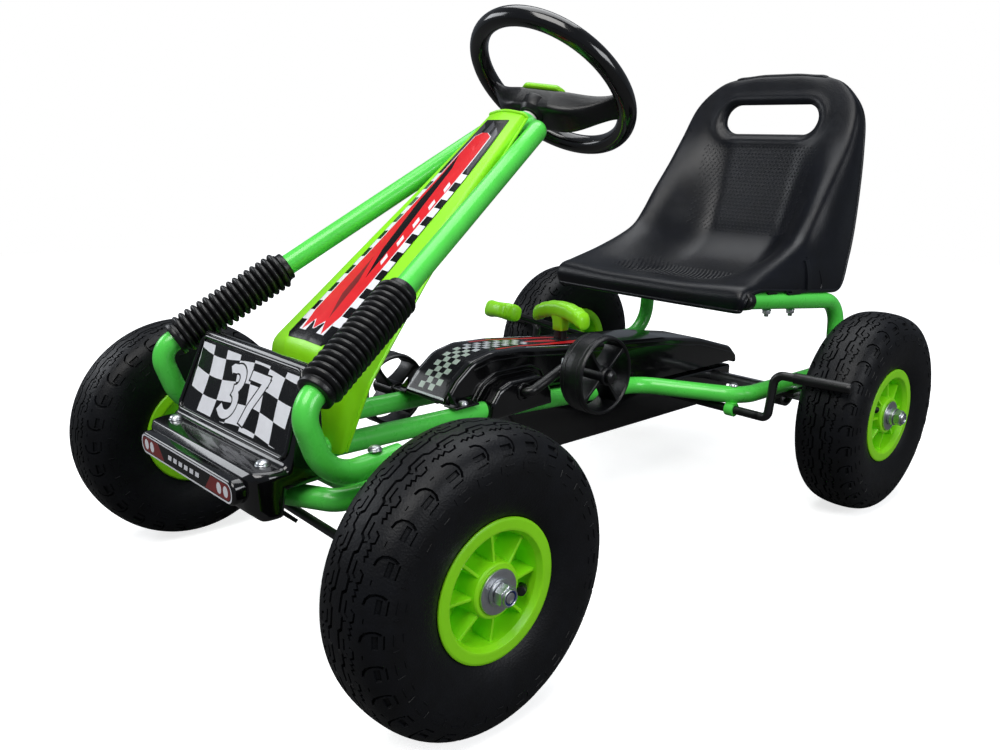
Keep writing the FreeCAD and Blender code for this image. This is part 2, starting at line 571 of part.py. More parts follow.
bands = [cut(loop(pr1 + 4, pr2 + 4, x0, x1), loop(pr1 - 4, pr2 - 4, x0 - 1, x1 + 1)) for x0, x1 in ((1.6, 3.0), (-3.0, -1.6))]
dist = math.hypot(HB - CY, TZ - CZ)
ang = math.atan2(TZ - CZ, HB - CY)
pins = []
beta = math.asin((pr1 - pr2) / dist)
for s in (1, -1):
    th_ = ang + s * (math.pi / 2 - beta)
    p = V(0, CY + pr1 * math.cos(th_), CZ + pr1 * math.sin(th_))
    q = V(0, HB + pr2 * math.cos(th_), TZ + pr2 * math.sin(th_))
    m = int((q - p).Length // S("chain_pitch"))
    for k in range(4, m - 3):
        c = p + (q - p) * (float(k) / m)
        pins.append(cyl(2.2, 6.4, (-3.2, c.y, c.z), (1, 0, 0)))
node("drive_chain", fuse(*(bands + pins)))

# crankshaft: one bent rod, pedal spindles at both ends
ay, az = S("crank_arm_y"), S("crank_arm_z")
PX = S("pedal_x")
XO = PX + 24.0
XA = 69.0
crank_pts = [(XO, CY + ay, CZ + az), (XA, CY + ay, CZ + az), (XA, CY, CZ), (-XA, CY, CZ), (-XA, CY - ay, CZ - az), (-XO, CY - ay, CZ - az)]
rod = sweep(crank_pts, [9, 9, 9, 9], D("crank_rod_radius"))
caps = [cyl(7.5, 4, (XO - 3.8, CY + ay, CZ + az), (1, 0, 0)), cyl(7.5, 4, (-XO - 0.2, CY - ay, CZ - az), (1, 0, 0))]
collars = [cyl(7.5, 3, (PX - 24, CY + ay, CZ + az), (1, 0, 0)), cyl(7.5, 3, (-PX + 21, CY - ay, CZ - az), (1, 0, 0))]
node("crankshaft", fuse(rod, *(caps + collars)))
for sx, side in ((1, "left"), (-1, "right")):
    b = new_body("Pedal")
    hw = "pedal_half_width"
    revolve(b, [("0 - " + hw, "pedal_radius - 3.5"), ("0 - " + hw + " + 2", "pedal_radius - 1"), (0, "pedal_radius"), (hw + " - 2", "pedal_radius - 1"), (hw, "pedal_radius - 3.5"),
                (hw + " - 0.4", "pedal_radius - 5"), (0, "pedal_radius - 4.4"), ("0 - " + hw + " + 0.4", "pedal_radius - 5")])
    web = pad(b, "YZ_Plane", [(8, -2.2), ("pedal_radius - 3.6", -2.2), ("pedal_radius - 3.6", 2.2), (8, 2.2)], 34.0, offset=-17)
    pp = b.newObject("PartDesign::PolarPattern", uid("Spokes"))
    pp.Originals = [web]
    pp.Axis = ([f for f in b.Origin.OriginFeatures if f.Role == "X_Axis"][0], [""])
    pp.Angle, pp.Occurrences = 360.0, 4
    b.Tip = pp
    hubp = cut(fuse(b, cyl(10.5, "2 * Dimensions.pedal_half_width", (-S(hw), 0, 0), (1, 0, 0))), cyl(D("crank_rod_radius") + " + 0.08", 60, (-30, 0, 0), (1, 0, 0)))
    node("pedal_" + side, hubp, Placement(V(sx * PX, CY + sx * ay, CZ + sx * az), Rotation(V(1, 0, 0), 38)))

# rear axle, its washers and nuts
axle_end = RT + 50.0
node("rear_axle", fuse(cyl(D("rear_axle_radius"), 2 * axle_end - 20, (-axle_end + 10, HB, TZ), (1, 0, 0)),
                       cyl(6, 2 * axle_end, (-axle_end, HB, TZ), (1, 0, 0)), cyl(11, 4, (200, HB, TZ), (1, 0, 0)), cyl(11, 4, (-204, HB, TZ), (1, 0, 0))))


def hexnut(af, height, base, axis, bore):
    o = doc.addObject("Part::Prism", uid("Hexagon"))
    o.Polygon = 6
    o.Circumradius = af / math.sqrt(3.0)
    o.Height = height
    o.Placement = Placement(V(*base), turn(axis))
    return cut(o, cyl(bore, height + 2, tuple(b - a for a, b in zip(axis, base)), axis))


rear_hw = []
for sx in (1, -1):
    for x, r, tt in ((31.4, 19.0, 2.0), (33.5, 10.7, 4.0)):
        base = (sx * (RT + x), HB, TZ)
        bore_r = S("rear_axle_radius") + 0.02
        rear_hw.append(cut(cyl(r, tt, base, (sx, 0, 0)), cyl(bore_r, tt + 2, (base[0] - sx, HB, TZ), (sx, 0, 0))))
    rear_hw.append(hexnut(18, 9.0, (sx * (RT + 40.2), HB, TZ), (sx, 0, 0), 6.02))
node("rear_axle_nuts", group(*rear_hw))

# =============================== steering ===============================
col = fuse(cyl(D("column_radius"), 546, on_axis(-570), n), cyl(9.5, 3, on_axis(ts - 23), n), cyl(9.5, 3, on_axis(th + 20), n))
arm = doc.addObject("Part::Box", uid("Box"))
arm.Length, arm.Width, arm.Height = 34, 40, 4
arm.Placement = Placement(V(*on_axis(-568, 0)), Rotation(V(1, 0, 0), V(*a1), V(*n), "XZY")).multiply(Placement(V(-17, -9, 0), Rotation()))
node("steering_column", fuse(col, arm))
wheel_place = Placement(V(*WC), Rotation(V(1, 0, 0), V(*a1), V(*n), "XZY"))
spin = wheel_place.multiply(Placement(V(), Rotation(V(0, 0, 1), 8.5)))
tor = doc.addObject("Part::Torus", uid("Torus"))
tor.setExpression("Radius1", D("steer_rim_radius"))
tor.setExpression("Radius2", D("steer_grip_radius"))
spk = []
for a in (13.5, 166.5):
    rot = Rotation(V(0, 0, 1), a)
    s1_ = loft_poly([[(18, -19, -42), (18, 19, -42), (18, 17, -20), (18, -17, -20)], [(60, -13, -24), (60, 13, -24), (60, 12, -9), (60, -12, -9)], [(92, -14, -6), (92, 14, -6), (92, 13, 5), (92, -13, 5)]])
    s1_.Placement = Placement(V(), rot)
    spk.append(s1_)
hubw = fillet_edges(box((-32, -12, -46), (32, 28, -17)), 6.0, lambda e: e.CenterOfMass.z > -45.5)
wheel = cut(fuse(tor, hubw, *spk), cyl(S("column_radius"), 36, (0, 0, -60)),
            box((-24.3, -8.3, -18.6), (24.3, 22.3, -10)))
node("steering_wheel", wheel, spin)
node("steering_wheel_cap", fillet_edges(box((-24, -8, -18.5), (24, 22, -14.5)), 1.2, lambda e: e.CenterOfMass.z > -15), spin)

for sx, side in ((1, "left"), (-1, "right")):
    kx = sx * KX
    k = fuse(cyl(11, 60.6, (kx, -HB, 99.5), (0, 0, 1)), cyl(D("stub_radius"), FT + 46 - KX, (kx, -HB, TZ), (sx, 0, 0)),
             cyl(9, 40.4, (kx, -HB, TZ), (sx, 0, 0)), box((kx - 8, -HB - 50, 116), (kx + 8, -HB - 6, 121)), cyl(10, 5, (kx, -HB - 44, 116)))
    k = cut(k, cyl(D("kingpin_radius") + " + 0.05", 70, (kx, -HB, 95)), cyl(4.05, 12, (kx, -HB - 44, 112)))
    node("knuckle_" + side, k)
    hw = []
    for x, r, tt in ((31.4, 19.0, 2.0), (33.5, 10.7, 2.4)):
        base = (sx * (FT + x), -HB, TZ)
        hw.append(cut(cyl(r, tt, base, (sx, 0, 0)), cyl(S("stub_radius") + 0.02, tt + 2, (base[0] - sx, -HB, TZ), (sx, 0, 0))))
    hw.append(hexnut(17, 8.6, (sx * (FT + 36.1), -HB, TZ), (sx, 0, 0), S("stub_radius") + 0.02))
    node("hub_nut_" + side, group(*hw))
    # tie rod: stud in the knuckle arm, rod, open eye at the pitman plate
    pe = V(*on_axis(-558.3, 22.0, sx * 9.0))
    ke = V(kx, -HB - 44, 134.0)
    dvec = (pe - ke)
    ln = dvec.Length
    dn = dvec * (1 / ln)
    tr = fuse(cyl(4.0, 24.5, (kx, -HB - 44, 112.5)), ball(8.0, (kx, -HB - 44, 134.0)), cyl(4.2, ln - 4, tuple(ke), tuple(dn)),
              cyl(7, 3.5, (kx, -HB - 44, 121.4)), cyl(7.5, 7.0, on_axis(-561.8, 22.0, sx * 9.0), n))
    node("tie_rod_" + side, tr)

# kingpin bolts and frame bolts
kp = []
for sx in (1, -1):
    kx = sx * KX
    kp.append(fuse(cyl(D("kingpin_radius"), 86, (kx, -HB, 88)), hexnut(16, 6.5, (kx, -HB, 166.2), (0, 0, 1), 2.0), hexnut(16, 7.5, (kx, -HB, 86.3), (0, 0, 1), 2.0)))
node("kingpin_bolts", group(*kp))


def dome(x, y, z, r=6.5, up=1, shank=5.0):
    c = doc.addObject("Part::Sphere", uid("Dome"))
    c.Radius = r * 1.25
    c.Angle1, c.Angle2 = 37.0, 90.0
    c.Placement = Placement(V(x, y, z - r * 1.25 * math.sin(math.radians(37.0))), Rotation())
    return c


bolts = []
for sx in (1, -1):
    bolts.append(dome(sx * 136, -347, 206.2, 6.0))
    bolts.append(dome(sx * 47, -166, 191.6, 5.5))
    bolts.append(dome(sx * 85.5, -429, 198.6, 6.5))
    bolts.append(dome(sx * 150, 208, 164.2, 5.5))
node("frame_bolts", group(*bolts))
sb = []
for sx in (1, -1):
    for yy, xx, zz in ((262, 156.6, 257.2), (318, 159.6, 251.3)):
        sb.append(fuse(cyl(3, 8, (sx * xx, yy, zz - 7.2)), hexnut(10, 4.4, (sx * xx, yy, zz - 4.0), (0, 0, 1), 1.0)))
node("seat_bolts", group(*sb))

# =============================== hand levers ===============================
gl = fuse(cyl(4.5, 34, (0, 38, 216)), cyl(3, 26, (-13, 38, 217), (1, 0, 0)))
node("gear_lever", gl)
gh = new_body("Handle")
revolve(gh, [(-42, 0), (-42, 6), (-39, 9.5), (-30, 11.5), (-14, 10), (0, 9.2), (14, 10), (30, 11.5), (39, 9.5), (42, 6), (42, 0)])
node("gear_lever_handle", cut(fuse(gh, cyl(9, 20, (0, 0, -22))), cyl(5.02, 22, (0, 0, -24))), Placement(V(0, 38, 259), Rotation()))
bl = sweep([(-201, BY, BZ), (201, BY, BZ)], [], D("brake_rod_radius"))
side_rods = []
for sx in (1, -1):
    side_rods.append(sweep([(sx * 192, BY, BZ), (sx * 206, BY, BZ), (sx * 206, 210, 190), (sx * 300, 218.5, 190)], [8, 12], D("brake_rod_radius")))
lever = sweep([(-96, BY, BZ), (-98, 205, 186), (-122, 56, 240)], [16], 5.0)
node("brake_linkage", fuse(bl, lever, *side_rods))
bh = new_body("Handle")
revolve(bh, [(-30, 0), (-30, 5), (-27, 8.5), (-18, 10.5), (0, 9.0), (18, 10.5), (27, 8.5), (30, 5), (30, 0)])
bdir = V(-24, -149, 54).normalize()
bhp = V(-122, 56, 240) + bdir * 6
socket_start = V(-122, 56, 240) - bdir * 14
bh.Placement = Placement(bhp, Rotation())
node("brake_handle", cut(fuse(bh, cyl(8, 18, tuple(socket_start), tuple(bdir))), cyl(5.02, 60, tuple(V(-122, 56, 240) - bdir * 59.9), tuple(bdir))))

# =============================== seat ===============================
# shell given by rows of a centre point, a wing crest and a skirt edge (Y, Z and X)
rows = [((196, 262), (150, 198, 262), (157, 204, 262)), ((193, 276), (156, 195, 277), (163, 203, 271)),
        ((200, 287), (154, 202, 290), (165, 209, 280)), ((228, 289), (151, 228, 297), (167, 230, 286)),
        ((282, 284), (149, 280, 312), (169, 284, 281)), ((340, 283), (149, 326, 328), (171, 345, 274)),
        ((396, 297), (149, 358, 344), (172, 398, 269)), ((437, 330), (149, 378, 366), (172, 440, 270)),
        ((459, 375), (149, 402, 395), (169, 462, 308)), ((475, 425), (148, 434, 430), (163, 482, 360)),
        ((489, 477), (144, 472, 476), (154, 500, 455)), ((500, 525), (134, 496, 521), (144, 514, 512)),
        ((508, 550), (118, 506, 544), (126, 519, 544)), ((513, 562), (100, 511, 557), (106, 521, 552)),
        ((519, 566), (96, 518, 561), (102, 523, 553))]

def smooth(a):
    a = max(0.0, min(1.0, a))
    return a * a * (3 - 2 * a)


def blended_rows(count_):
    """The rows at equal steps along the middle of the seat (Catmull-Rom between the stated ones)."""
    flat = [list(c) + list(w) + list(k) for c, w, k in rows]
    fine = []
    for i in range(len(flat) - 1):
        p0, p1, p2, p3 = flat[max(i - 1, 0)], flat[i], flat[i + 1], flat[min(i + 2, len(flat) - 1)]
        l0, l1, l2 = [max(1e-6, sum((a - b) ** 2 for a, b in zip(u_, v_)) ** 0.25) for u_, v_ in ((p0, p1), (p1, p2), (p2, p3))]
        for j in range(20):
            q = j / 20.0
            out = []
            for a, b, c, e in zip(p0, p1, p2, p3):
                m1 = (c - b) if i == 0 else l1 * ((b - a) / l0 - (c - a) / (l0 + l1) + (c - b) / l1)
                m2 = (c - b) if i == len(flat) - 2 else l1 * ((c - b) / l1 - (e - b) / (l1 + l2) + (e - c) / l2)
                out.append((2 * q ** 3 - 3 * q ** 2 + 1) * b + (q ** 3 - 2 * q ** 2 + q) * m1 + (3 * q ** 2 - 2 * q ** 3) * c + (q ** 3 - q ** 2) * m2)
            fine.append(out)
    fine.append(flat[-1])
    acc = [0.0]
    for a, b in zip(fine, fine[1:]):
        acc.append(acc[-1] + 0.6 * math.hypot(a[0] - b[0], a[1] - b[1]) + 0.4 * math.dist(a[2:5], b[2:5]))
    res, k = [], 0
    for i in range(count_):
        want = acc[-1] * i / (count_ - 1.0)
        while k < len(acc) - 2 and acc[k + 1] < want:
            k += 1
        f = (want - acc[k]) / max(1e-9, acc[k + 1] - acc[k])
        r_ = [a + (b - a) * f for a, b in zip(fine[k], fine[k + 1])]
        res.append((tuple(r_[0:2]), tuple(r_[2:5]), tuple(r_[5:8])))
    return res


def seat_line(c, w, k, steps=14):
    """One row from the middle to the skirt, as points at equal steps of arc length."""
    fine = []
    for i in range(121):
        u = i / 120.0
        if u <= 0.75:
            q = u / 0.75
            s_ = smooth((q - 0.35) / 0.65)
            fine.append((w[0] * q, c[0] + (w[1] - c[0]) * s_, c[1] + (w[2] - c[1]) * s_))
        else:
            q = (u - 0.75) / 0.25
            fine.append((w[0] + (k[0] - w[0]) * math.sin(q * math.pi / 2), w[1] + (k[1] - w[1]) * q * (0.4 + 0.6 * q),
                         w[2] + (k[2] - w[2]) * q * (0.3 + 0.7 * q)))
    acc = [0.0]
    for a, b in zip(fine, fine[1:]):
        acc.append(acc[-1] + math.dist(a, b))
    out, m = [], 0
    for i in range(steps + 1):
        want = acc[-1] * i / steps
        while m < len(acc) - 2 and acc[m + 1] < want:
            m += 1
        f = (want - acc[m]) / (acc[m + 1] - acc[m])
        out.append(V(*[p + (q - p) * f for p, q in zip(fine[m], fine[m + 1])]))
    return out


def seat_grid(off):
    grid = []
    for c, w, k in blended_rows(30):
        half = seat_line(c, w, k)
        grid.append([V(-p.x, p.y, p.z) for p in reversed(half[1:])] + half)
    if off == 0:
        return grid
    out = []
    for i in range(len(grid)):
        row = []
        for j in range(len(grid[0])):
            a = grid[min(i + 1, len(grid) - 1)][j] - grid[max(i - 1, 0)][j]
            b_ = grid[i][min(j + 1, len(grid[0]) - 1)] - grid[i][max(j - 1, 0)]
            nn = b_.cross(a).normalize()
            row.append(grid[i][j] - nn * off)
        out.append(row)
    return out


def seat_solid():
    faces, surfs = [], []
    for off in (0.0, S("seat_skin")):
        g = seat_grid(off)
        bs = Part.BSplineSurface()
        bs.interpolate(g)
        surfs.append(bs)
        faces.append(bs.toShape())
    ea, eb = [f.Edges for f in faces]
    used = set()
    for e in ea:
        best = min((k for k in range(4) if k not in used), key=lambda k: (eb[k].CenterOfMass - e.CenterOfMass).Length)
        used.add(best)
        faces.append(Part.makeRuledSurface(e, eb[best]))
    shell = Part.makeShell([f for s_ in faces for f in s_.Faces])
    shell.sewShape()
    sol = Part.makeSolid(Part.Shell(shell.Faces))
    if sol.Volume < 0:
        sol.reverse()
    return sol


seat_core = doc.addObject("Part::Feature", "SeatSkin")
seat_core.Shape = seat_solid()
# hand hole: rounded slot through the top of the back
hole_c = [cyl(21, 90, (sx * 54, 455, 500), (0, 1, 0)) for sx in (1, -1)]
hole_b = box((-54, 455, 479), (54, 545, 521))
node("seat_shell", cut(seat_core, fuse(hole_b, *hole_c)))
feet = []
for sx in (1, -1):
    for yb in (250, 306):
        xm = 154 + 12 * (yb + 12 - 212) / 225.0
        zt = 275 - 24 * (yb + 12 - 212) / 225.0
        feet.append(cut(box((sx * xm - 7, yb, zt + 6), (sx * xm + 7, yb + 24, zt + 15.5)),
                        sweep([(sx * 154, 212, 275), (sx * 166, 437, 251)], [], D(R) + " + 0.3")))
node("seat_mounting_blocks", group(*feet))

doc.recompute()
bad = [o.Label for o in doc.Objects if any(w in o.State for w in ("Invalid", "Error"))]
for name, o in nodes.items():
    sh = o.Shape
    if sh.isNull() or not sh.isValid() or not sh.Solids:
        bad.append(name + " shape")
if bad:
    raise RuntimeError("failed objects: " + ", ".join(bad))
for name, o in sorted(nodes.items()):
    o.Shape.exportStep("parts/%s.step" % name)
    bb_ = o.Shape.BoundBox
    print("%-26s solids %2d vol %9.0f  x %7.1f %7.1f  y %7.1f %7.1f  z %6.1f %6.1f" % (name, len(o.Shape.Solids), o.Shape.Volume, bb_.XMin, bb_.XMax, bb_.YMin, bb_.YMax, bb_.ZMin, bb_.ZMax))
print(len(nodes), "nodes")
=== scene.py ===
import bpy
import bmesh
import json
import math
import random
from mathutils import Matrix, Vector, Quaternion
from mathutils.geometry import delaunay_2d_cdt

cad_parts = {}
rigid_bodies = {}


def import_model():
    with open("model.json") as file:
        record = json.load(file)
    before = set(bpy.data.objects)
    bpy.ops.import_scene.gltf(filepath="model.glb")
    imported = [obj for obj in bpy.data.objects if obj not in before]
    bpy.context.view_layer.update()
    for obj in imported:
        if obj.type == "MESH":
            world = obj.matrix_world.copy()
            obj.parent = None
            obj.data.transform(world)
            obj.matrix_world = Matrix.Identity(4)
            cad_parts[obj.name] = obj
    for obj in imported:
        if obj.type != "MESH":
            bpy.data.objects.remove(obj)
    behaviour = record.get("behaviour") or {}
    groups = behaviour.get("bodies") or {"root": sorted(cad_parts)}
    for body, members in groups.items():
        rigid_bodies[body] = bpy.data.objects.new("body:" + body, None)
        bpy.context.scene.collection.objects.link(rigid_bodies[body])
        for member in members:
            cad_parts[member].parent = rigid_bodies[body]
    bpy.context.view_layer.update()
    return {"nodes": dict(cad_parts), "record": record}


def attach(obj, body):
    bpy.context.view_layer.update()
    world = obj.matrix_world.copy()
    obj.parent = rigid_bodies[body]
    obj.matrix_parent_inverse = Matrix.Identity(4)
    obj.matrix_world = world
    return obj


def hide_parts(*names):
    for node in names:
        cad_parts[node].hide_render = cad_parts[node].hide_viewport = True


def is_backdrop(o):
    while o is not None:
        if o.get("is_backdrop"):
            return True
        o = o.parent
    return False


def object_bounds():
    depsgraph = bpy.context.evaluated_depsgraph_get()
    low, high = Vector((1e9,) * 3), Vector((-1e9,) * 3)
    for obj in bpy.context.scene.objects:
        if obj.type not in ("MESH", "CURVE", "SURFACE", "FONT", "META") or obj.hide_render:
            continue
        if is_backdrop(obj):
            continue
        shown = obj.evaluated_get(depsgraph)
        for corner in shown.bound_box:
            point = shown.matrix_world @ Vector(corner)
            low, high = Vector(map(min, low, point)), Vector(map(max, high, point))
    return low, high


for o_ in list(bpy.data.objects):        # start from an empty scene
    bpy.data.objects.remove(o_)
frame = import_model()
random.seed(7)

# Lengths below are millimetres about the middle of the wheelbase; the frame's origin is 25 mm further back.
SHIFT = 25.0
MM = 0.001


def tm(p):
    return Vector((p[0] * MM, (p[1] - SHIFT) * MM, p[2] * MM))


# ------------------------------------------------------------------ camera, light, floor
scene = bpy.context.scene
scene.view_settings.view_transform = "Standard"
scene.view_settings.look = "None"

cam_data = bpy.data.cameras.new("camera")
cam = bpy.data.objects.new("camera", cam_data)
scene.collection.objects.link(cam)
az, el, roll = math.radians(46.386), math.radians(15.193), math.radians(0.678)
back = Vector((math.sin(az) * math.cos(el), -math.cos(az) * math.cos(el), math.sin(el)))
right = Vector((math.cos(az), math.sin(az), 0.0))
upv = back.cross(right)
cx = right * math.cos(roll) + upv * math.sin(roll)
cy = upv * math.cos(roll) - right * math.sin(roll)
cam.matrix_world = Matrix(((cx.x, cy.x, back.x, 0.75053), (cx.y, cy.y, back.y, -0.80659), (cx.z, cy.z, back.z, 0.47796), (0, 0, 0, 1)))
cam_data.sensor_width = 36.0
cam_data.lens = 32.30
cam_data.clip_start, cam_data.clip_end = 0.01, 60.0
scene.camera = cam


def area_light(name, loc, target, size, energy, color=(1, 1, 1), size_y=None, spread=180):
    d = bpy.data.lights.new(name, "AREA")
    d.energy, d.color, d.size = energy, color, size
    if size_y:
        d.shape, d.size_y = "RECTANGLE", size_y
    d.spread = math.radians(spread)
    o = bpy.data.objects.new(name, d)
    scene.collection.objects.link(o)
    o.location = loc
    o.rotation_mode = "QUATERNION"
    o.rotation_quaternion = (Vector(target) - Vector(loc)).to_track_quat("-Z", "Y")
    return o


area_light("key_soft", (0.6, -1.6, 2.5), (0, -0.05, 0.2), 1.7, 52, (1, 0.99, 0.97))
area_light("top_soft", (-0.5, 0.5, 2.7), (0, 0, 0.2), 2.2, 44, (0.97, 0.985, 1))
area_light("left_soft", (-2.4, -1.5, 1.5), (0, 0, 0.2), 1.5, 20, (0.93, 0.96, 1), 1.0)
area_light("right_soft", (2.6, 0.3, 1.3), (0, 0, 0.2), 1.5, 27, (0.95, 0.97, 1), 1.0)

world = bpy.data.worlds.new("studio")
scene.world = world
world.use_nodes = True
wn, wl = world.node_tree.nodes, world.node_tree.links
wn.clear()
w_out = wn.new("ShaderNodeOutputWorld")
w_mix = wn.new("ShaderNodeMixShader")
w_lp = wn.new("ShaderNodeLightPath")
w_a, w_b = wn.new("ShaderNodeBackground"), wn.new("ShaderNodeBackground")
w_a.inputs[0].default_value = (0.80, 0.88, 1.0, 1)
w_a.inputs[1].default_value = 0.16
w_b.inputs[0].default_value = (1, 1, 1, 1)
w_b.inputs[1].default_value = 1.0
wl.new(w_lp.outputs["Is Camera Ray"], w_mix.inputs[0])
wl.new(w_a.outputs[0], w_mix.inputs[1])
wl.new(w_b.outputs[0], w_mix.inputs[2])
wl.new(w_mix.outputs[0], w_out.inputs[0])


# ------------------------------------------------------------------ materials
def socket(b, *names):
    for n_ in names:
        if n_ in b.inputs:
            return b.inputs[n_]


def material(name, color, rough=0.4, metal=0.0, vary=0.12, vary_scale=60.0, rough_vary=0.06, bump=0.0, bump_scale=400.0,
             bump_detail=2.0, coat=0.0, coat_rough=0.08, spec=0.5, sheen=0.0, dust=None, stretch=None, fine=None):
    """Procedural surface: colour and gloss drift with soft noise, a fine bump gives the moulded or painted skin."""
    m = bpy.data.materials.new(name)
    m.use_nodes = True
    nt = m.node_tree
    b = nt.nodes["Principled BSDF"]
    tc = nt.nodes.new("ShaderNodeTexCoord")
    src = tc.outputs["Object"]
    if stretch:
        mp = nt.nodes.new("ShaderNodeMapping")
        mp.inputs["Scale"].default_value = stretch
        nt.links.new(src, mp.inputs[0])
        src_f = mp.outputs[0]
    else:
        src_f = src
    n1 = nt.nodes.new("ShaderNodeTexNoise")
    n1.inputs["Scale"].default_value = vary_scale
    n1.inputs["Detail"].default_value = 5.0
    n1.inputs["Roughness"].default_value = 0.6
    nt.links.new(src, n1.inputs["Vector"])
    ramp = nt.nodes.new("ShaderNodeValToRGB")
    lo = [c * (1 - vary) for c in color]
    hi = [min(1.0, c * (1 + vary)) for c in color]
    if dust:
        hi = [c + (d - c) * 0.5 for c, d in zip(color, dust)]
    ramp.color_ramp.elements[0].position = 0.32
    ramp.color_ramp.elements[0].color = (*lo, 1)
    ramp.color_ramp.elements[1].position = 0.68
    ramp.color_ramp.elements[1].color = (*hi, 1)
    nt.links.new(n1.outputs["Fac"], ramp.inputs[0])
    nt.links.new(ramp.outputs[0], b.inputs["Base Color"])
    n2 = nt.nodes.new("ShaderNodeTexNoise")
    n2.inputs["Scale"].default_value = vary_scale * 2.3
    n2.inputs["Detail"].default_value = 3.0
    nt.links.new(src_f, n2.inputs["Vector"])
    mr = nt.nodes.new("ShaderNodeMapRange")
    mr.inputs["To Min"].default_value = max(0.02, rough - rough_vary)
    mr.inputs["To Max"].default_value = min(1.0, rough + rough_vary)
    nt.links.new(n2.outputs["Fac"], mr.inputs["Value"])
    nt.links.new(mr.outputs[0], b.inputs["Roughness"])
    b.inputs["Metallic"].default_value = metal
    socket(b, "Specular IOR Level", "Specular").default_value = spec
    socket(b, "Coat Weight", "Clearcoat").default_value = coat
    socket(b, "Coat Roughness", "Clearcoat Roughness").default_value = coat_rough
    if sheen:
        socket(b, "Sheen Weight", "Sheen").default_value = sheen
    if bump > 0:
        n3 = nt.nodes.new("ShaderNodeTexNoise")
        n3.inputs["Scale"].default_value = bump_scale
        n3.inputs["Detail"].default_value = bump_detail
        nt.links.new(src_f, n3.inputs["Vector"])
        h = n3.outputs["Fac"]
        if fine:
            v = nt.nodes.new("ShaderNodeTexVoronoi")
            v.inputs["Scale"].default_value = fine
            nt.links.new(src, v.inputs["Vector"])
            ad = nt.nodes.new("ShaderNodeMath")
            ad.operation = "ADD"
            nt.links.new(h, ad.inputs[0])
            nt.links.new(v.outputs["Distance"], ad.inputs[1])
            h = ad.outputs[0]
        bp = nt.nodes.new("ShaderNodeBump")
        bp.inputs["Strength"].default_value = bump
        bp.inputs["Distance"].default_value = 0.001
        nt.links.new(h, bp.inputs["Height"])
        nt.links.new(bp.outputs[0], b.inputs["Normal"])
    return m


M = {}
M["green"] = material("green_powder_coat", (0.100, 0.760, 0.085), 0.28, vary=0.06, vary_scale=25, rough_vary=0.05, bump=0.10, bump_scale=900, coat=0.35, coat_rough=0.12)
M["lime"] = material("lime_plastic", (0.320, 0.900, 0.010), 0.34, vary=0.05, vary_scale=30, rough_vary=0.06, bump=0.06, bump_scale=1400, coat=0.10, coat_rough=0.2)
M["gloss"] = material("black_gloss_plastic", (0.0028, 0.0028, 0.0033), 0.15, vary=0.35, vary_scale=40, rough_vary=0.05, bump=0.05, bump_scale=260, coat=0.5, coat_rough=0.05)
M["satin"] = material("black_satin_plastic", (0.0040, 0.0041, 0.0050), 0.33, vary=0.3, vary_scale=60, rough_vary=0.07, bump=0.12, bump_scale=1500, fine=900)
M["seat"] = material("seat_plastic", (0.0024, 0.0030, 0.0054), 0.31, spec=0.34, vary=0.3, vary_scale=35, rough_vary=0.06, bump=0.16, bump_scale=1300, fine=800)
M["tyre"] = material("tyre_rubber", (0.0042, 0.0044, 0.0056), 0.46, vary=0.3, vary_scale=45, rough_vary=0.08, bump=0.16, bump_scale=800, fine=500, spec=0.24, dust=(0.006, 0.007, 0.010))
M["rubber"] = material("black_rubber", (0.0036, 0.0036, 0.0042), 0.36, vary=0.3, vary_scale=70, rough_vary=0.08, bump=0.15, bump_scale=900)
M["zinc"] = material("zinc_steel", (0.64, 0.66, 0.69), 0.33, metal=1.0, vary=0.08, vary_scale=160, rough_vary=0.06, bump=0.02, bump_scale=700)
M["bearing"] = material("bearing_steel", (0.55, 0.55, 0.56), 0.2, metal=1.0, vary=0.1, vary_scale=120, rough_vary=0.08, bump=0.04, bump_scale=600)
M["chain"] = material("chain_steel", (0.16, 0.155, 0.15), 0.36, metal=1.0, vary=0.3, vary_scale=180, rough_vary=0.12, bump=0.2, bump_scale=500)
M["paint"] = material("black_painted_steel", (0.0040, 0.0040, 0.0046), 0.34, vary=0.3, vary_scale=70, rough_vary=0.08, bump=0.15, bump_scale=700, coat=0.2, coat_rough=0.2)
M["nylon"] = material("white_nylon", (0.74, 0.73, 0.69), 0.45, vary=0.05, vary_scale=80, bump=0.05, bump_scale=500)
M["blue_nylon"] = material("lock_nut_insert", (0.012, 0.03, 0.16), 0.4, vary=0.2, vary_scale=200, bump=0.05, bump_scale=800)
M["ink_white"] = material("vinyl_white", (0.86, 0.87, 0.92), 0.3, vary=0.05, vary_scale=90, rough_vary=0.05, bump=0.04, bump_scale=900, coat=0.3, coat_rough=0.1)
M["ink_black"] = material("vinyl_black", (0.004, 0.004, 0.005), 0.26, vary=0.2, vary_scale=90, rough_vary=0.05, bump=0.04, bump_scale=900, spec=0.25, coat=0.04, coat_rough=0.1)
M["ink_grey"] = material("vinyl_charcoal", (0.045, 0.045, 0.055), 0.3, vary=0.12, vary_scale=90, rough_vary=0.05, bump=0.04, bump_scale=900, coat=0.3, coat_rough=0.1)
M["ink_red"] = material("vinyl_red", (0.74, 0.007, 0.013), 0.34, vary=0.06, vary_scale=60, rough_vary=0.05, bump=0.04, bump_scale=900, coat=0.12, coat_rough=0.15)
M["ink_dark_red"] = material("vinyl_dark_red", (0.20, 0.010, 0.010), 0.3, vary=0.12, vary_scale=60, rough_vary=0.05, bump=0.04, bump_scale=900, coat=0.3, coat_rough=0.1)
M["ink_mint"] = material("vinyl_pale_green", (0.78, 0.88, 0.79), 0.3, vary=0.06, vary_scale=60, rough_vary=0.05, bump=0.04, bump_scale=900, coat=0.3, coat_rough=0.1)
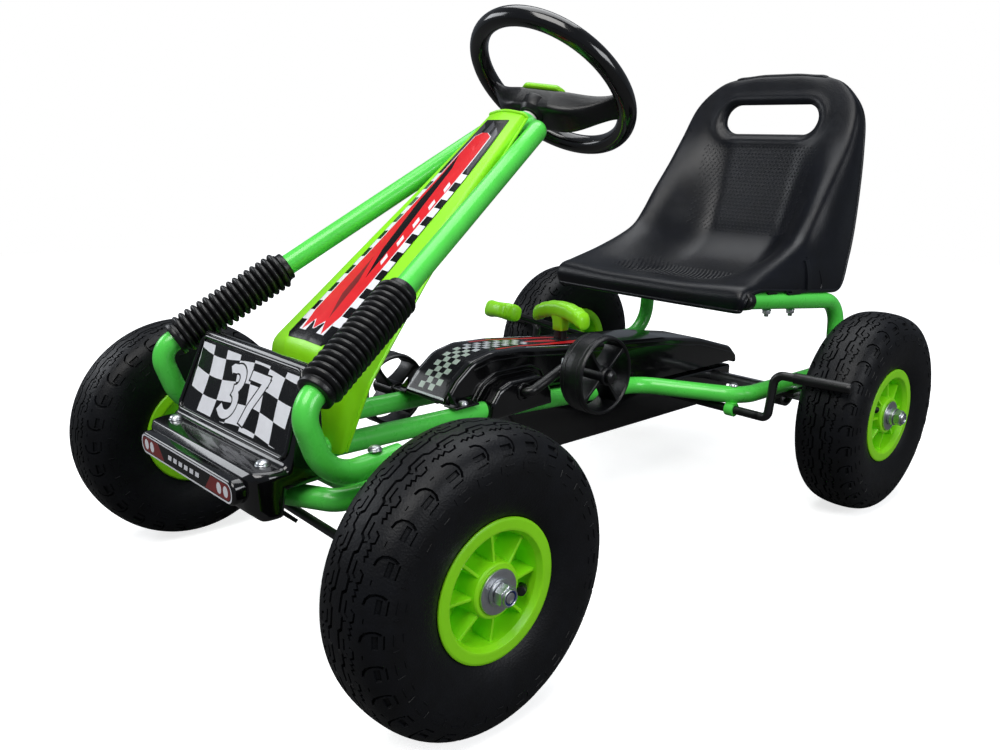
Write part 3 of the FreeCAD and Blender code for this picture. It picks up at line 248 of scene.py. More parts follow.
M["floor"] = material("pale_floor", (0.80, 0.80, 0.80), 0.9, vary=0.01, vary_scale=3, rough_vary=0.05, spec=0.0)
fb_ = M["floor"].node_tree.nodes["Principled BSDF"]
fb_.inputs["Emission Color"].default_value = (1, 1, 1, 1)
fb_.inputs["Emission Strength"].default_value = 0.74
# the sweep is bright where it is seen, and dim to everything standing on it
ft_ = M["floor"].node_tree
fo_ = next(q for q in ft_.nodes if q.type == "OUTPUT_MATERIAL")
fm_, fl_, fd_ = ft_.nodes.new("ShaderNodeMixShader"), ft_.nodes.new("ShaderNodeLightPath"), ft_.nodes.new("ShaderNodeBsdfDiffuse")
fd_.inputs[0].default_value = (0.10, 0.10, 0.10, 1)
ft_.links.new(fl_.outputs["Is Camera Ray"], fm_.inputs[0])
ft_.links.new(fd_.outputs[0], fm_.inputs[1])
ft_.links.new(fb_.outputs[0], fm_.inputs[2])
ft_.links.new(fm_.outputs[0], fo_.inputs[0])


# ------------------------------------------------------------------ mesh helpers
def new_object(name, verts, faces, mats, face_mat=None, angle=32.0, merge=1e-6, place=None, recalc=True):
    """Mesh object from millimetre coordinates (already in metres when place is given as a matrix of metres)."""
    me = bpy.data.meshes.new(name)
    pts = [(v[0] * MM, v[1] * MM, v[2] * MM) for v in verts] if place is not None else [tuple(tm(v)) for v in verts]
    me.from_pydata(pts, [], [list(f) for f in faces])
    for k in mats:
        me.materials.append(M[k])
    if face_mat:
        me.polygons.foreach_set("material_index", face_mat)
    bm = bmesh.new()
    bm.from_mesh(me)
    if merge:
        bmesh.ops.remove_doubles(bm, verts=bm.verts, dist=merge)
    bmesh.ops.dissolve_degenerate(bm, edges=bm.edges, dist=1e-7)
    if recalc:
        bmesh.ops.recalc_face_normals(bm, faces=bm.faces)
    bm.to_mesh(me)
    bm.free()
    smooth(me, angle)
    o = bpy.data.objects.new(name, me)
    scene.collection.objects.link(o)
    if place is not None:
        o.matrix_world = place
    return o


def smooth(me, angle):
    me.polygons.foreach_set("use_smooth", [True] * len(me.polygons))
    me.set_sharp_from_angle(angle=math.radians(angle))
    me.update()


def done(o, body, slot, *replaces):
    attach(o, body)
    if replaces:
        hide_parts(*replaces)
    return o


def bevel(o, width, seg=2, angle=30.0):
    m = o.modifiers.new("edge", "BEVEL")
    m.width, m.segments, m.limit_method, m.angle_limit = width * MM, seg, "ANGLE", math.radians(angle)
    m.harden_normals = False
    w = o.modifiers.new("normals", "WEIGHTED_NORMAL")
    w.keep_sharp = True
    return o


def arc_round(points, radii, steps=5, closed=False):
    """2-D polyline with its corners rounded."""
    n_ = len(points)
    out = []
    for i in range(n_):
        if not closed and i in (0, n_ - 1):
            out.append(tuple(points[i]))
            continue
        p, a, b = Vector(points[i]), Vector(points[i - 1]), Vector(points[(i + 1) % n_])
        r = radii[i] if not isinstance(radii, (int, float)) else radii
        da, db = (a - p), (b - p)
        la, lb = da.length, db.length
        if r <= 0 or la < 1e-6 or lb < 1e-6:
            out.append(tuple(p))
            continue
        da /= la
        db /= lb
        c = max(-0.9999, min(0.9999, da.dot(db)))
        half = math.acos(c) / 2
        if half > math.radians(88):
            out.append(tuple(p))
            continue
        cutb = min(r / math.tan(half), la * 0.48, lb * 0.48)
        r2 = cutb * math.tan(half)
        centre = p + (da + db).normalized() * (r2 / math.sin(half))
        p1, p2 = p + da * cutb, p + db * cutb
        a1_, a2_ = math.atan2(*(p1 - centre).yx), math.atan2(*(p2 - centre).yx)
        d = (a2_ - a1_ + math.pi) % (2 * math.pi) - math.pi
        for k in range(steps + 1):
            t = a1_ + d * k / steps
            out.append((centre.x + r2 * math.cos(t), centre.y + r2 * math.sin(t)))
    return out


def revolve(profile, seg=64, closed=True):
    """Profile of (axial, radius) about local X -> verts, faces.  Radius 0 collapses to a point and is merged later."""
    verts, faces = [], []
    k = len(profile)
    for i in range(seg):
        a = 2 * math.pi * i / seg
        for x, r in profile:
            verts.append((x, r * math.cos(a), r * math.sin(a)))
    for i in range(seg):
        j = (i + 1) % seg
        for q in range(k if closed else k - 1):
            p = (q + 1) % k
            faces.append((i * k + q, i * k + p, j * k + p, j * k + q))
    return verts, faces


def loft(sections, cap=True, closed=True):
    verts, faces = [], []
    n_ = len(sections[0])
    for s_ in sections:
        verts += [tuple(p) for p in s_]
    for i in range(len(sections) - 1):
        for j in range(n_ if closed else n_ - 1):
            k = (j + 1) % n_
            faces.append((i * n_ + j, i * n_ + k, (i + 1) * n_ + k, (i + 1) * n_ + j))
    if cap:
        faces.append(tuple(range(n_ - 1, -1, -1)))
        faces.append(tuple((len(sections) - 1) * n_ + j for j in range(n_)))
    return verts, faces


def join(*parts):
    verts, faces = [], []
    for v, f in parts:
        o = len(verts)
        verts += list(v)
        faces += [tuple(i + o for i in q) for q in f]
    return verts, faces


def moved(part, matrix):
    v, f = part
    return [tuple(matrix @ Vector(p)) for p in v], f


def align(axis, origin=(0, 0, 0), spin=0.0):
    """Matrix taking local X to axis, at origin (millimetres)."""
    x = Vector(axis).normalized()
    h = Vector((0, 0, 1)) if abs(x.z) < 0.9 else Vector((0, 1, 0))
    y = h.cross(x).normalized()
    z = x.cross(y)
    m = Matrix((x, y, z)).transposed().to_4x4()
    return Matrix.Translation(Vector(origin)) @ m @ Matrix.Rotation(spin, 4, "X")


def path_points(points, radii):
    """Centreline of a bent tube: straight runs and tangent arcs, as dense points."""
    pts = [Vector(p) for p in points]
    out = [pts[0]]
    for i in range(1, len(pts) - 1):
        a, b = (pts[i - 1] - pts[i]).normalized(), (pts[i + 1] - pts[i]).normalized()
        half = math.acos(max(-1, min(1, a.dot(b)))) / 2
        r = radii[i - 1]
        cb = r / math.tan(half)
        c = pts[i] + (a + b).normalized() * (r / math.sin(half))
        u, w = pts[i] + a * cb - c, pts[i] + b * cb - c
        th_ = math.pi - 2 * half
        m = max(3, int(math.degrees(th_) / 4.0))
        for k in range(m + 1):
            t = k / m
            out.append(c + (u * math.sin((1 - t) * th_) + w * math.sin(t * th_)) / math.sin(th_))
    out.append(pts[-1])
    return out


def tube(path, radius, seg=36, cap=True, wall=None, scale=None):
    """Round tube along dense points with a carried frame."""
    pts = [Vector(p) for p in path]
    clean = [pts[0]]
    for p in pts[1:]:
        if (p - clean[-1]).length > 0.05:
            clean.append(p)
    pts = clean
    tang = []
    for i in range(len(pts)):
        a, b = pts[max(i - 1, 0)], pts[min(i + 1, len(pts) - 1)]
        tang.append((b - a).normalized())
    nrm = tang[0].orthogonal().normalized()
    rings = []
    for i, p in enumerate(pts):
        if i:
            q = tang[i - 1].rotation_difference(tang[i])
            nrm = (q @ nrm).normalized()
        bn = tang[i].cross(nrm)
        rr = radius if scale is None else radius * scale(i / (len(pts) - 1.0))
        rings.append([p + (nrm * math.cos(2 * math.pi * k / seg) + bn * math.sin(2 * math.pi * k / seg)) * rr for k in range(seg)])
    if wall:
        inner = []
        for i in (len(pts) - 1, 0):
            c = pts[i]
            d = tang[i] if i else -tang[i]
            inner.append(([c + (v - c) * ((radius - wall) / radius) for v in rings[i]], [c + (v - c) * ((radius - wall) / radius) - d * 12 for v in rings[i]]))
        rings = [inner[1][1], inner[1][0]] + rings + [inner[0][0], inner[0][1]]
    return loft(rings, cap)


def decal(name, shapes, to3d, mats, spacing=6.0, offset=0.25, clip=None, body="root", base=True):
    """Flat graphics cut from overlapping outlines.  shapes: (outline, colour); later ones lie on top.
    The plane is split by every outline, so each colour field is its own set of faces on the surface."""
    coords, polys, tags = [], [], []
    for outline, colour in shapes:
        i0 = len(coords)
        turn = sum(outline[k - 1][0] * outline[k][1] - outline[k][0] * outline[k - 1][1] for k in range(len(outline)))
        if turn < 0:
            outline = outline[::-1]
        coords += [Vector((p[0], p[1])) for p in outline]
        polys.append(list(range(i0, len(coords))))
        tags.append(colour)
    xs = [p.x for p in coords]
    ys = [p.y for p in coords]
    if spacing:
        x = min(xs) + spacing * 0.5
        while x < max(xs):
            y = min(ys) + spacing * 0.5
            while y < max(ys):
                coords.append(Vector((x + 0.013 * y % 0.3, y + 0.017 * x % 0.3)))
                y += spacing
            x += spacing
    v, e, f, ov, oe, of_ = delaunay_2d_cdt(coords, [], polys, 0, 1e-4, True)
    faces, fm = [], []
    for face, src in zip(f, of_):
        src = [s_ for s_ in src if s_ < len(tags)]
        if not src:
            continue
        c = tags[max(src)]
        if c is None:
            continue
        faces.append(tuple(face))
        fm.append(mats.index(c))
    verts = [to3d(p.x, p.y, offset) for p in v]
    o = new_object(name, verts, faces, mats, fm, angle=25, merge=0, recalc=False)
    me = o.data
    used = set(i for q in faces for i in q)
    bm = bmesh.new()
    bm.from_mesh(me)
    bmesh.ops.delete(bm, geom=[q for q in bm.verts if not q.link_faces], context="VERTS")
    bm.normal_update()
    bm.to_mesh(me)
    bm.free()
    return o


# ------------------------------------------------------------------ wheels
WHEELS = {  # name: (x, y, turned, body)
    "front_left": (260, -344, False, "wheel_front_left"), "front_right": (-260, -344, True, "wheel_front_right"),
    "rear_left": (266, 344, False, "rear_axle"), "rear_right": (-266, 344, True, "wheel_rear_right")}


def wheel_matrix(x, y, turned, spin=0.0):
    m = Matrix.Translation(Vector((x * MM, (y - SHIFT) * MM, 0.130)))
    if turned:
        m = m @ Matrix.Rotation(math.pi, 4, "Z")
    return m @ Matrix.Rotation(spin, 4, "X")


# tyre section from the crown to the bead, right half: axial, radius
half = [(0, 129.8), (8, 129.5), (16, 128.6), (24, 126.6), (30, 123.4), (34.6, 118.6), (37.8, 112), (39.5, 104.5), (39.9, 97), (39.4, 88), (38.0, 79), (35.9, 71.5), (33.6, 66), (31.6, 62.6)]


def section_curve(points, step=0.5):
    """Smooth curve through the section's points with its length along it."""
    pts = [(-points[1][0], points[1][1])] + list(points) + [(2 * points[-1][0] - points[-2][0], 2 * points[-1][1] - points[-2][1])]
    fine = []
    for i in range(1, len(pts) - 2):
        p0, p1, p2, p3 = pts[i - 1], pts[i], pts[i + 1], pts[i + 2]
        for k in range(12):
            t = k / 12.0
            fine.append(tuple(0.5 * ((2 * b) + (-a + c) * t + (2 * a - 5 * b + 4 * c - d) * t * t + (-a + 3 * b - 3 * c + d) * t ** 3) for a, b, c, d in zip(p0, p1, p2, p3)))
    fine.append(points[-1])
    acc = [0.0]
    for a, b in zip(fine, fine[1:]):
        acc.append(acc[-1] + math.hypot(a[0] - b[0], a[1] - b[1]))
    return fine, acc


SEC, SEC_L = section_curve(half)
V_END = SEC_L[-1]


def on_section(v, h=0.0):
    """Point (axial, radius) at signed length v from the crown, h mm out of the surface."""
    s_, a = (1 if v >= 0 else -1), min(abs(v), V_END - 1e-6)
    lo, hi = 0, len(SEC_L) - 1
    while hi - lo > 1:
        m = (lo + hi) // 2
        if SEC_L[m] <= a:
            lo = m
        else:
            hi = m
    f = (a - SEC_L[lo]) / max(1e-9, SEC_L[hi] - SEC_L[lo])
    x = SEC[lo][0] + (SEC[hi][0] - SEC[lo][0]) * f
    r = SEC[lo][1] + (SEC[hi][1] - SEC[lo][1]) * f
    i, j = max(lo - 2, 0), min(hi + 2, len(SEC) - 1)
    tx, tr = SEC[j][0] - SEC[i][0], SEC[j][1] - SEC[i][1]
    if lo < 2:
        tx, tr = 1.0, tr * 0.3
    ln = math.hypot(tx, tr)
    nx, nr = -tr / ln, tx / ln
    return s_ * (x + nx * h), r + nr * h


PITCHES = 28
P = 2 * math.pi * 129.8 / PITCHES          # one tread pitch at the crown, mm


def stroke(points, width):
    """Outline of a line of the given width with mitred joints and square ends."""
    pts = [Vector(p) for p in points]
    left, rightp = [], []
    for i, p in enumerate(pts):
        d1 = (pts[i] - pts[i - 1]).normalized() if i else (pts[1] - pts[0]).normalized()
        d2 = (pts[i + 1] - pts[i]).normalized() if i < len(pts) - 1 else d1
        n1, n2 = Vector((-d1.y, d1.x)), Vector((-d2.y, d2.x))
        m = (n1 + n2)
        m = m.normalized() / max(0.45, m.normalized().dot(n1))
        left.append(p + m * width / 2)
        rightp.append(p - m * width / 2)
    if len(pts) > 1:
        d = (pts[0] - pts[1]).normalized() * width * 0.3
        left[0] += d
        rightp[0] += d
        d = (pts[-1] - pts[-2]).normalized() * width * 0.3
        left[-1] += d
        rightp[-1] += d
    return [tuple(p) for p in left] + [tuple(p) for p in reversed(rightp)]


def inside(poly, x, y):
    c, j = False, len(poly) - 1
    for i in range(len(poly)):
        xi, yi = poly[i]
        xj, yj = poly[j]
        if (yi > y) != (yj > y) and x < (xj - xi) * (y - yi) / (yj - yi) + xi:
            c = not c
        j = i
    return c


def tread_shapes():
    """Grooves and raised marks of one pitch in (along, across) millimetres: (points, width, floor width, height)."""
    g = []
    for s_ in (1, -1):
        o = 0.0 if s_ > 0 else P * 0.5       # the two halves of the tread are half a pitch apart

        def q(*pts):
            return [(x + o, y * s_) for x, y in pts]
        # stepped line beside the centre rib
        g.append((q((-2, 4.6), (9, 4.6), (11.5, 8.0), (21, 8.0), (23.5, 4.6), (P - 2.6, 4.6)), 2.5, 1.6, -3.4))
        # saw-tooth sipe in the shoulder rib, ending in a hook
        g.append((q((3.0, 16.4), (4.6, 19.4), (11.0, 19.4), (12.6, 16.2), (16.4, 18.8), (17.6, 15.8), (21.4, 18.2), (22.6, 15.4), (25.6, 17.0)), 1.8, 1.0, -3.0))
        g.append((q((14.2, 8.6), (12.6, 12.4)), 1.3, 0.7, -1.8))
        g.append((q((P - 1.5, 10.4), (P + 7.5, 10.4), (P + 9.6, 13.2)), 1.9, 1.1, -2.8))
        # curved groove round each shoulder block
        g.append((q((24.6, 25.6), (20.5, 26.4), (17.2, 29.0), (15.6, 33.2), (15.8, 38.0), (17.6, 41.0)), 2.3, 1.4, -3.2))
        # shoulder pocket: a sunk oblong between the blocks, with a narrow slot beyond it
        g.append((q((19.6, 36.6), (28.8, 36.6)), 4.6, 3.2, -2.2))
        g.append((q((18.8, 43.2), (30.2, 43.2)), 1.5, 0.8, -1.6))
        g.append((q((6.2, 27.4), (9.6, 27.4)), 1.1, 0.6, -1.2))
        # raised dashes on the sidewall
        g.append((q((18.6, 50.6), (29.0, 50.6)), 1.2, 0.7, 0.75))
        g.append((q((20.2, 58.4), (27.6, 58.4)), 1.1, 0.6, 0.65))
        g.append((q((6.0, 50.0), (6.0, 55.4)), 1.1, 0.6, 0.6))
    return g


def tyre_mesh():
    coords, polys, levels = [], [], []
    shapes = tread_shapes()
    for shift in (-P, 0.0, P):
        for pts, w, wf, h in shapes:
            pp = [(x + shift, y) for x, y in pts]
            if max(p[0] for p in pp) < -3 or min(p[0] for p in pp) > P + 3:
                continue
            for width, level in ((w, 0.0), (wf, h)):
                out = stroke(pp, width)
                i0 = len(coords)
                coords += [Vector(p) for p in out]
                polys.append(list(range(i0, len(coords))))
                levels.append((level, [tuple(p) for p in out], h))
    n_poly = len(polys)
    i0 = len(coords)
    vs = [-V_END]
    while vs[-1] < V_END - 0.1:
        a = abs(vs[-1])
        vs.append(min(V_END, vs[-1] + (3.4 if a < 62 else 4.2)))
    cols = 7
    # the frame of the pitch, its two ends cut at the same heights
    ring = [(0.0, v) for v in vs] + [(P * k / cols, V_END) for k in range(1, cols)] + [(P, v) for v in reversed(vs)] + [(P * k / cols, -V_END) for k in range(cols - 1, 0, -1)]
    ring = ring[::-1]                        # counter-clockwise
    coords += [Vector(p) for p in ring]
    frame_poly = list(range(i0, len(coords)))
    polys.append(frame_poly)
    for k in range(1, cols):
        for v in vs[1:-1]:
            coords.append(Vector((P * k / cols, v)))
    v, e, f, ov, oe, of_ = delaunay_2d_cdt(coords, [], polys, 0, 1e-3, True)
    floors = [l for l in levels if l[0] != 0.0]
    height = []
    for p in v:
        hgt = 0.0
        for lv, out, hh in floors:
            # a point on the floor outline belongs to the floor: a point within a hair of the outline counts as on it
            mx = sum(q[0] for q in out) / len(out)
            if abs(p.x - mx) > 30:
                continue
            on = inside(out, p.x, p.y)
            if not on:
                for a, b in zip(out, out[1:] + out[:1]):
                    dx, dy = b[0] - a[0], b[1] - a[1]
                    t = max(0.0, min(1.0, ((p.x - a[0]) * dx + (p.y - a[1]) * dy) / max(1e-9, dx * dx + dy * dy)))
                    if math.hypot(p.x - a[0] - dx * t, p.y - a[1] - dy * t) < 2e-3:
                        on = True
                        break
            if on and abs(lv) > abs(hgt):
                hgt = lv
        height.append(hgt)
    cell = []
    for face, src in zip(f, of_):
        if n_poly in src:
            cell.append(tuple(face))
    verts, faces = [], []
    for i in range(PITCHES):
        o = len(verts)
        for p, h in zip(v, height):
            x, r = on_section(p.y, h)
            a = 2 * math.pi * (i + p.x / P) / PITCHES
            verts.append((x, r * math.cos(a), r * math.sin(a)))
        faces += [tuple(k + o for k in q) for q in cell]
    # inside of the tyre and its beads: a plain ring that closes the shell
    inner = [(31.6, 62.6), (30.9, 61.6), (29.3, 60.2), (29.2, 52), (24, 50.9), (25, 60), (29.5, 72), (33.4, 84), (34.6, 97), (33.2, 107), (28.5, 115), (20, 120.3), (0, 122)]
    inner = inner + [(-x, r) for x, r in reversed(inner[:-1])]
    k0 = len(verts)
    n_in = len(inner)
    seg = PITCHES * cols
    for i in range(seg):
        a = 2 * math.pi * i / seg
        for x, r in inner:
            verts.append((x, r * math.cos(a), r * math.sin(a)))
    for i in range(seg):
        j = (i + 1) % seg
        for q in range(n_in - 1):
            faces.append((k0 + i * n_in + q, k0 + i * n_in + q + 1, k0 + j * n_in + q + 1, k0 + j * n_in + q))
    return verts, faces


tv, tf = tyre_mesh()
tyre_data = None
for k_, (wname, (wx, wy, turned, body)) in enumerate(WHEELS.items()):
    place = wheel_matrix(wx, wy, turned, math.pi / 2 * k_)
    if tyre_data is None:
        o = new_object("tyre_tread_" + wname, tv, tf, ["tyre"], angle=28, merge=2e-5, place=place)
        tyre_data = o.data
    else:
        o = bpy.data.objects.new("tyre_tread_" + wname, tyre_data)
        scene.collection.objects.link(o)
        o.matrix_world = place
    done(o, body, "tyre", "tyre_" + wname)

# rim: barrel and flanges, dished web, hub, eight ribs with draft and rounded edges
rim_out = [(31, 8.5), (31, 13.6), (31, 22.5), (29.6, 23.6), (5.2, 25.2), (4.2, 26.4), (4.2, 44.8), (5.4, 46.2), (27.4, 47.4), (30.2, 49.0), (32.7, 50.2),
           (32.95, 52), (32.9, 58.6), (32.2, 60.6), (31.0, 61.0), (29.6, 60.0), (29.2, 57), (29.2, 50.55), (-29.2, 50.55), (-29.2, 57), (-29.6, 60), (-31, 61), (-32.9, 59.4),
           (-33, 50), (-31, 46.5), (-4.2, 45.0), (-4.2, 24.4), (-30, 22.5), (-30, 8.5)]
rim_profile = arc_round(rim_out, [0, 0, 1.2, 0.8, 0.8, 0.8, 1.2, 1.0, 1.4, 1.2, 0.8, 0.8, 1.4, 0.8, 0.8, 0.5, 0.5, 0, 0, 0.5, 0.8, 0.8, 1.5, 1.2, 1.0, 1.0, 0.8, 1.0, 0], steps=3, closed=True)
rv, rf = revolve(rim_profile, 96)
ribs = []
for i in range(8):
    a = 2 * math.pi * i / 8 + math.pi / 8 * 0
    secs = []
    for r_, top_, w_ in ((23.0, 27.6, 1.5), (26.0, 27.2, 1.45), (36.0, 25.8, 1.4), (45.2, 24.6, 1.5), (47.6, 24.6, 1.9)):
        lo_, wb = 3.8, w_ + 0.7
        sec2 = [(lo_, -wb), (top_ - 0.7, -w_), (top_ - 0.2, -w_ + 0.25), (top_, -w_ + 0.8), (top_, w_ - 0.8), (top_ - 0.2, w_ - 0.25), (top_ - 0.7, w_), (lo_, wb)]
        secs.append([(x, r_, y) for x, y in sec2])
    part = loft(secs, True)
    ribs.append(moved(part, Matrix.Rotation(a, 4, "X")))
rim_part = join((rv, rf), *ribs)
rim_data = None
for wname, (wx, wy, turned, body) in WHEELS.items():
    place = wheel_matrix(wx, wy, turned)
    if rim_data is None:
        o = new_object("rim_shell_" + wname, rim_part[0], rim_part[1], ["lime"], angle=30, place=place)
        rim_data = o.data
    else:
        o = bpy.data.objects.new("rim_shell_" + wname, rim_data)
        scene.collection.objects.link(o)
        o.matrix_world = place
    done(o, body, "lime", "rim_" + wname)

# valve: rubber stem with a ribbed cap, leaning outwards between two ribs
for wname, (wx, wy, turned, body) in WHEELS.items():
    av = math.radians(-22.5 if wname.startswith("front") else 157.5)
    if turned:
        av = math.pi - av
    b0 = Vector((15.0, 50.0 * math.cos(av), 50.0 * math.sin(av)))
    b1 = Vector((28.0, 31.5 * math.cos(av), 31.5 * math.sin(av)))
    ln = (b1 - b0).length
    prof = [(0, 0), (0, 5.2), (1.4, 5.0), (3.0, 3.4), (ln * 0.56, 2.9), (ln * 0.58, 3.6), (ln * 0.60, 4.3)]
    for i in range(5):
        x = ln * 0.62 + i * 1.5
        prof += [(x, 4.3), (x + 0.6, 3.95), (x + 0.8, 4.3)]
    prof += [(ln - 0.8, 4.2), (ln, 3.4), (ln + 0.3, 0)]
    part = moved(revolve(prof, 24, closed=False), align(b1 - b0, b0))
    o = new_object("valve_stem_" + wname, part[0], part[1], ["rubber"], angle=30, place=wheel_matrix(wx, wy, turned))
    done(o, body, "rubber", "valve_" + wname)


def hex_nut(af, height, bore, x0=0.0, chamfer=1.2, both=True):
    """Hexagon nut about X with turned chamfers; starts at x0."""
    rows_ = [0.0, 0.35, 0.7, 1.05, 1.4, 1.8] if both else [0.0]
    rows_ += [height - q for q in (1.8, 1.4, 1.05, 0.7, 0.35, 0.0)]
    seg = 72
    secs = []
    secs.append([(x0, bore * math.cos(2 * math.pi * i / seg), bore * math.sin(2 * math.pi * i / seg)) for i in range(seg)])
    for h in rows_:
        ring_ = []
        for i in range(seg):
            a = 2 * math.pi * i / seg
            r = (af / 2.0) / math.cos((a + math.pi / 6) % (math.pi / 3) - math.pi / 6)
            end = min(h if both else 99, height - h)
            r = min(r, af / 2.0 * 0.985 + end * 1.75)
            ring_.append((x0 + h, r * math.cos(a), r * math.sin(a)))
        secs.append(ring_)
    secs.append([(x0 + height, bore * math.cos(2 * math.pi * i / seg), bore * math.sin(2 * math.pi * i / seg)) for i in range(seg)])
    secs.append([(x0 + height * 0.5, (bore - 0.02) * math.cos(2 * math.pi * i / seg), (bore - 0.02) * math.sin(2 * math.pi * i / seg)) for i in range(seg)])
    return loft(secs, cap=False)


def hub_hardware(name, reach, body, node_, places, washer_r=19.0, nut=17.0):
    for side, (x, y, turned) in places.items():
        w = revolve(arc_round([(31.3, 8.2), (33.3, 8.2), (33.3, washer_r), (31.3, washer_r)], 0.5, 3, closed=True), 72)
        c = revolve(arc_round([(33.45, 8.2), (36.0, 8.2), (36.0, 11.6), (33.45, 11.6)], 0.5, 3, closed=True), 48)
        n0 = 36.3 if reach < 48 else 40.2
        if reach >= 48:
            c = revolve(arc_round([(33.45, 8.2), (39.8, 8.2), (39.8, 11.2), (33.45, 11.2)], 0.6, 3, closed=True), 48)
        nn = hex_nut(nut, 8.2, 6.0, n0)
        dome_ = revolve(arc_round([(n0 + 8.0, 6.0), (n0 + 8.0, 7.6), (n0 + 10.6, 7.2), (n0 + 10.6, 6.1)], 0.7, 3, closed=True), 48)
        part = join(w, c, nn, dome_)
        o = new_object(name + side, part[0], part[1], ["zinc"], angle=30, place=wheel_matrix(x, y, turned))
        done(o, body, "zinc", *([node_] if node_ else []))
        ring_ = revolve(arc_round([(n0 + 8.6, 5.0), (n0 + 9.9, 5.0), (n0 + 9.9, 6.3), (n0 + 8.6, 6.3)], 0.3, 2, closed=True), 40)
        o = new_object(name + "lock_ring_" + side, ring_[0], ring_[1], ["blue_nylon"], angle=30, place=wheel_matrix(x, y, turned))
        done(o, body, "nylon")
        # threaded end of the axle showing through the nut
        tp = [(n0 + 2, 0), (n0 + 2, 5.2)]
        q = n0 + 2.0
        while q < reach - 1.0:
            tp += [(q + 0.3, 5.5), (q + 0.8, 5.0), (q + 1.2, 5.5)]
            q += 1.25
        tp += [(reach - 0.6, 5.3), (reach, 4.4), (reach + 0.2, 0)]
        th_ = revolve(tp, 36, closed=False)
        o = new_object(name + "thread_" + side, th_[0], th_[1], ["zinc"], angle=40, place=wheel_matrix(x, y, turned))
        done(o, body, "zinc")


hub_hardware("hub_fasteners_", 46.0, "knuckle_left", "hub_nut_left", {"front_left": (260, -344, False)})
hub_hardware("hub_fasteners_", 46.0, "knuckle_right", "hub_nut_right", {"front_right": (-260, -344, True)})
hub_hardware("axle_fasteners_", 50.0, "rear_axle", "rear_axle_nuts", {"rear_left": (266, 344, False), "rear_right": (-266, 344, True)}, nut=18.0)


# ------------------------------------------------------------------ frame tubes and rods
def rod(name, points, radii, radius, mat, body, nodes_, wall=None, seg=36, ends=0.0):
    parts = []
    for sx in ((1, -1) if isinstance(nodes_, tuple) else (1,)):
        pp = [(sx * x, y, z) for x, y, z in points]
        v, f = tube(path_points(pp, radii), radius, seg, True, wall)
        side = {1: "left", -1: "right"}[sx]
        o = new_object(name + ("_" + side if isinstance(nodes_, tuple) else ""), v, f, [mat], angle=35)
        done(o, body, mat, *([nodes_[0 if sx > 0 else 1]] if isinstance(nodes_, tuple) else ([nodes_] if nodes_ else [])))
        parts.append(o)
    return parts


rod("rail_tube", [(44, -378, 183), (44, -110, 175), (44, 142, 156), (163, 212, 152), (170, 437, 150), (166, 437, 251), (154, 217, 274.5)],
    [400, 45, 45, 46, 38], 11.0, "green", "root", ("frame_rail_left", "frame_rail_right"), wall=1.5, seg=40)
rod("support_tube", [(15, -38, 481), (38, -50, 479), (136.5, -420, 257), (136, -397, 190.5), (136, -320, 195)],
    [13, 22, 42], 11.0, "green", "root", ("steering_support_left", "steering_support_right"), wall=1.5, seg=40)
rod("bumper_hoop", [(127, -356.4, 163), (124, -381, 163.5), (78, -406, 164), (-78, -406, 164), (-124, -381, 163.5), (-127, -356.4, 163)],
    [18, 30, 30, 18], 10.5, "green", "root", "lower_bumper_tube", wall=1.5, seg=40)

CY, CZ, BY, BZ = -86.0, 192.5, 200.0, 135.0
parts = [tube([(-195, BY, BZ), (195, BY, BZ)], 5.5, 24)]
for sx in (1, -1):
    parts.append(tube(path_points([(sx * 190, BY, BZ), (sx * 206, BY, BZ), (sx * 206, 210, 190), (sx * 300, 218.5, 190)], [8, 12]), 5.5, 24))
    # rubber sleeve on the brake bar where it meets the tread
    a_, b_ = Vector((sx * 228, 212.0, 190)), Vector((sx * 301.5, 218.7, 190))
parts.append(tube(path_points([(-96, BY, BZ), (-98, 205, 186), (-122, 56, 240)], [16]), 5.0, 24))
v, f = join(*parts)
done(new_object("brake_bars", v, f, ["paint"], angle=35), "brake", "paint", "brake_linkage")
for sx, side in ((1, "left"), (-1, "right")):
    v, f = moved(revolve(arc_round([(0, 5.45), (0, 6.9), (66, 6.9), (70, 6.4), (72, 0.0)], [0, 0.8, 1.5, 1.5, 0], 3), 28, closed=False), align((sx * 94, 8.5, 0), (sx * 231, 212.26, 190)))
    done(new_object("brake_sleeve_" + side, v, f, ["rubber"], angle=35), "brake", "rubber")

ay, az_ = 60.0, 22.0
crank_pts = [(139, CY + ay, CZ + az_), (69, CY + ay, CZ + az_), (69, CY, CZ), (-69, CY, CZ), (-69, CY - ay, CZ - az_), (-139, CY - ay, CZ - az_)]
cr = [tube(path_points(crank_pts, [9, 9, 9, 9]), 6.0, 28)]
for sx in (1, -1):
    y, z = CY + sx * ay, CZ + sx * az_
    cap_ = revolve(arc_round([(0, 0), (0, 7.6), (3.2, 7.6), (5.2, 4.0), (5.4, 0)], [0, 0.6, 1.2, 1.5, 0], 3), 32, closed=False)
    cr.append(moved(cap_, align((sx, 0, 0), (sx * 135.4, y, z))))
    cr.append(moved(revolve(arc_round([(0, 5.9), (0, 7.6), (3, 7.6), (3, 5.9)], [0, 0.5, 0.5, 0], 2), 32, closed=False), align((sx, 0, 0), (sx * 91, y, z))))
v, f = join(*cr)
done(new_object("crank_rod", v, f, ["paint"], angle=35), "crank", "paint", "crankshaft")

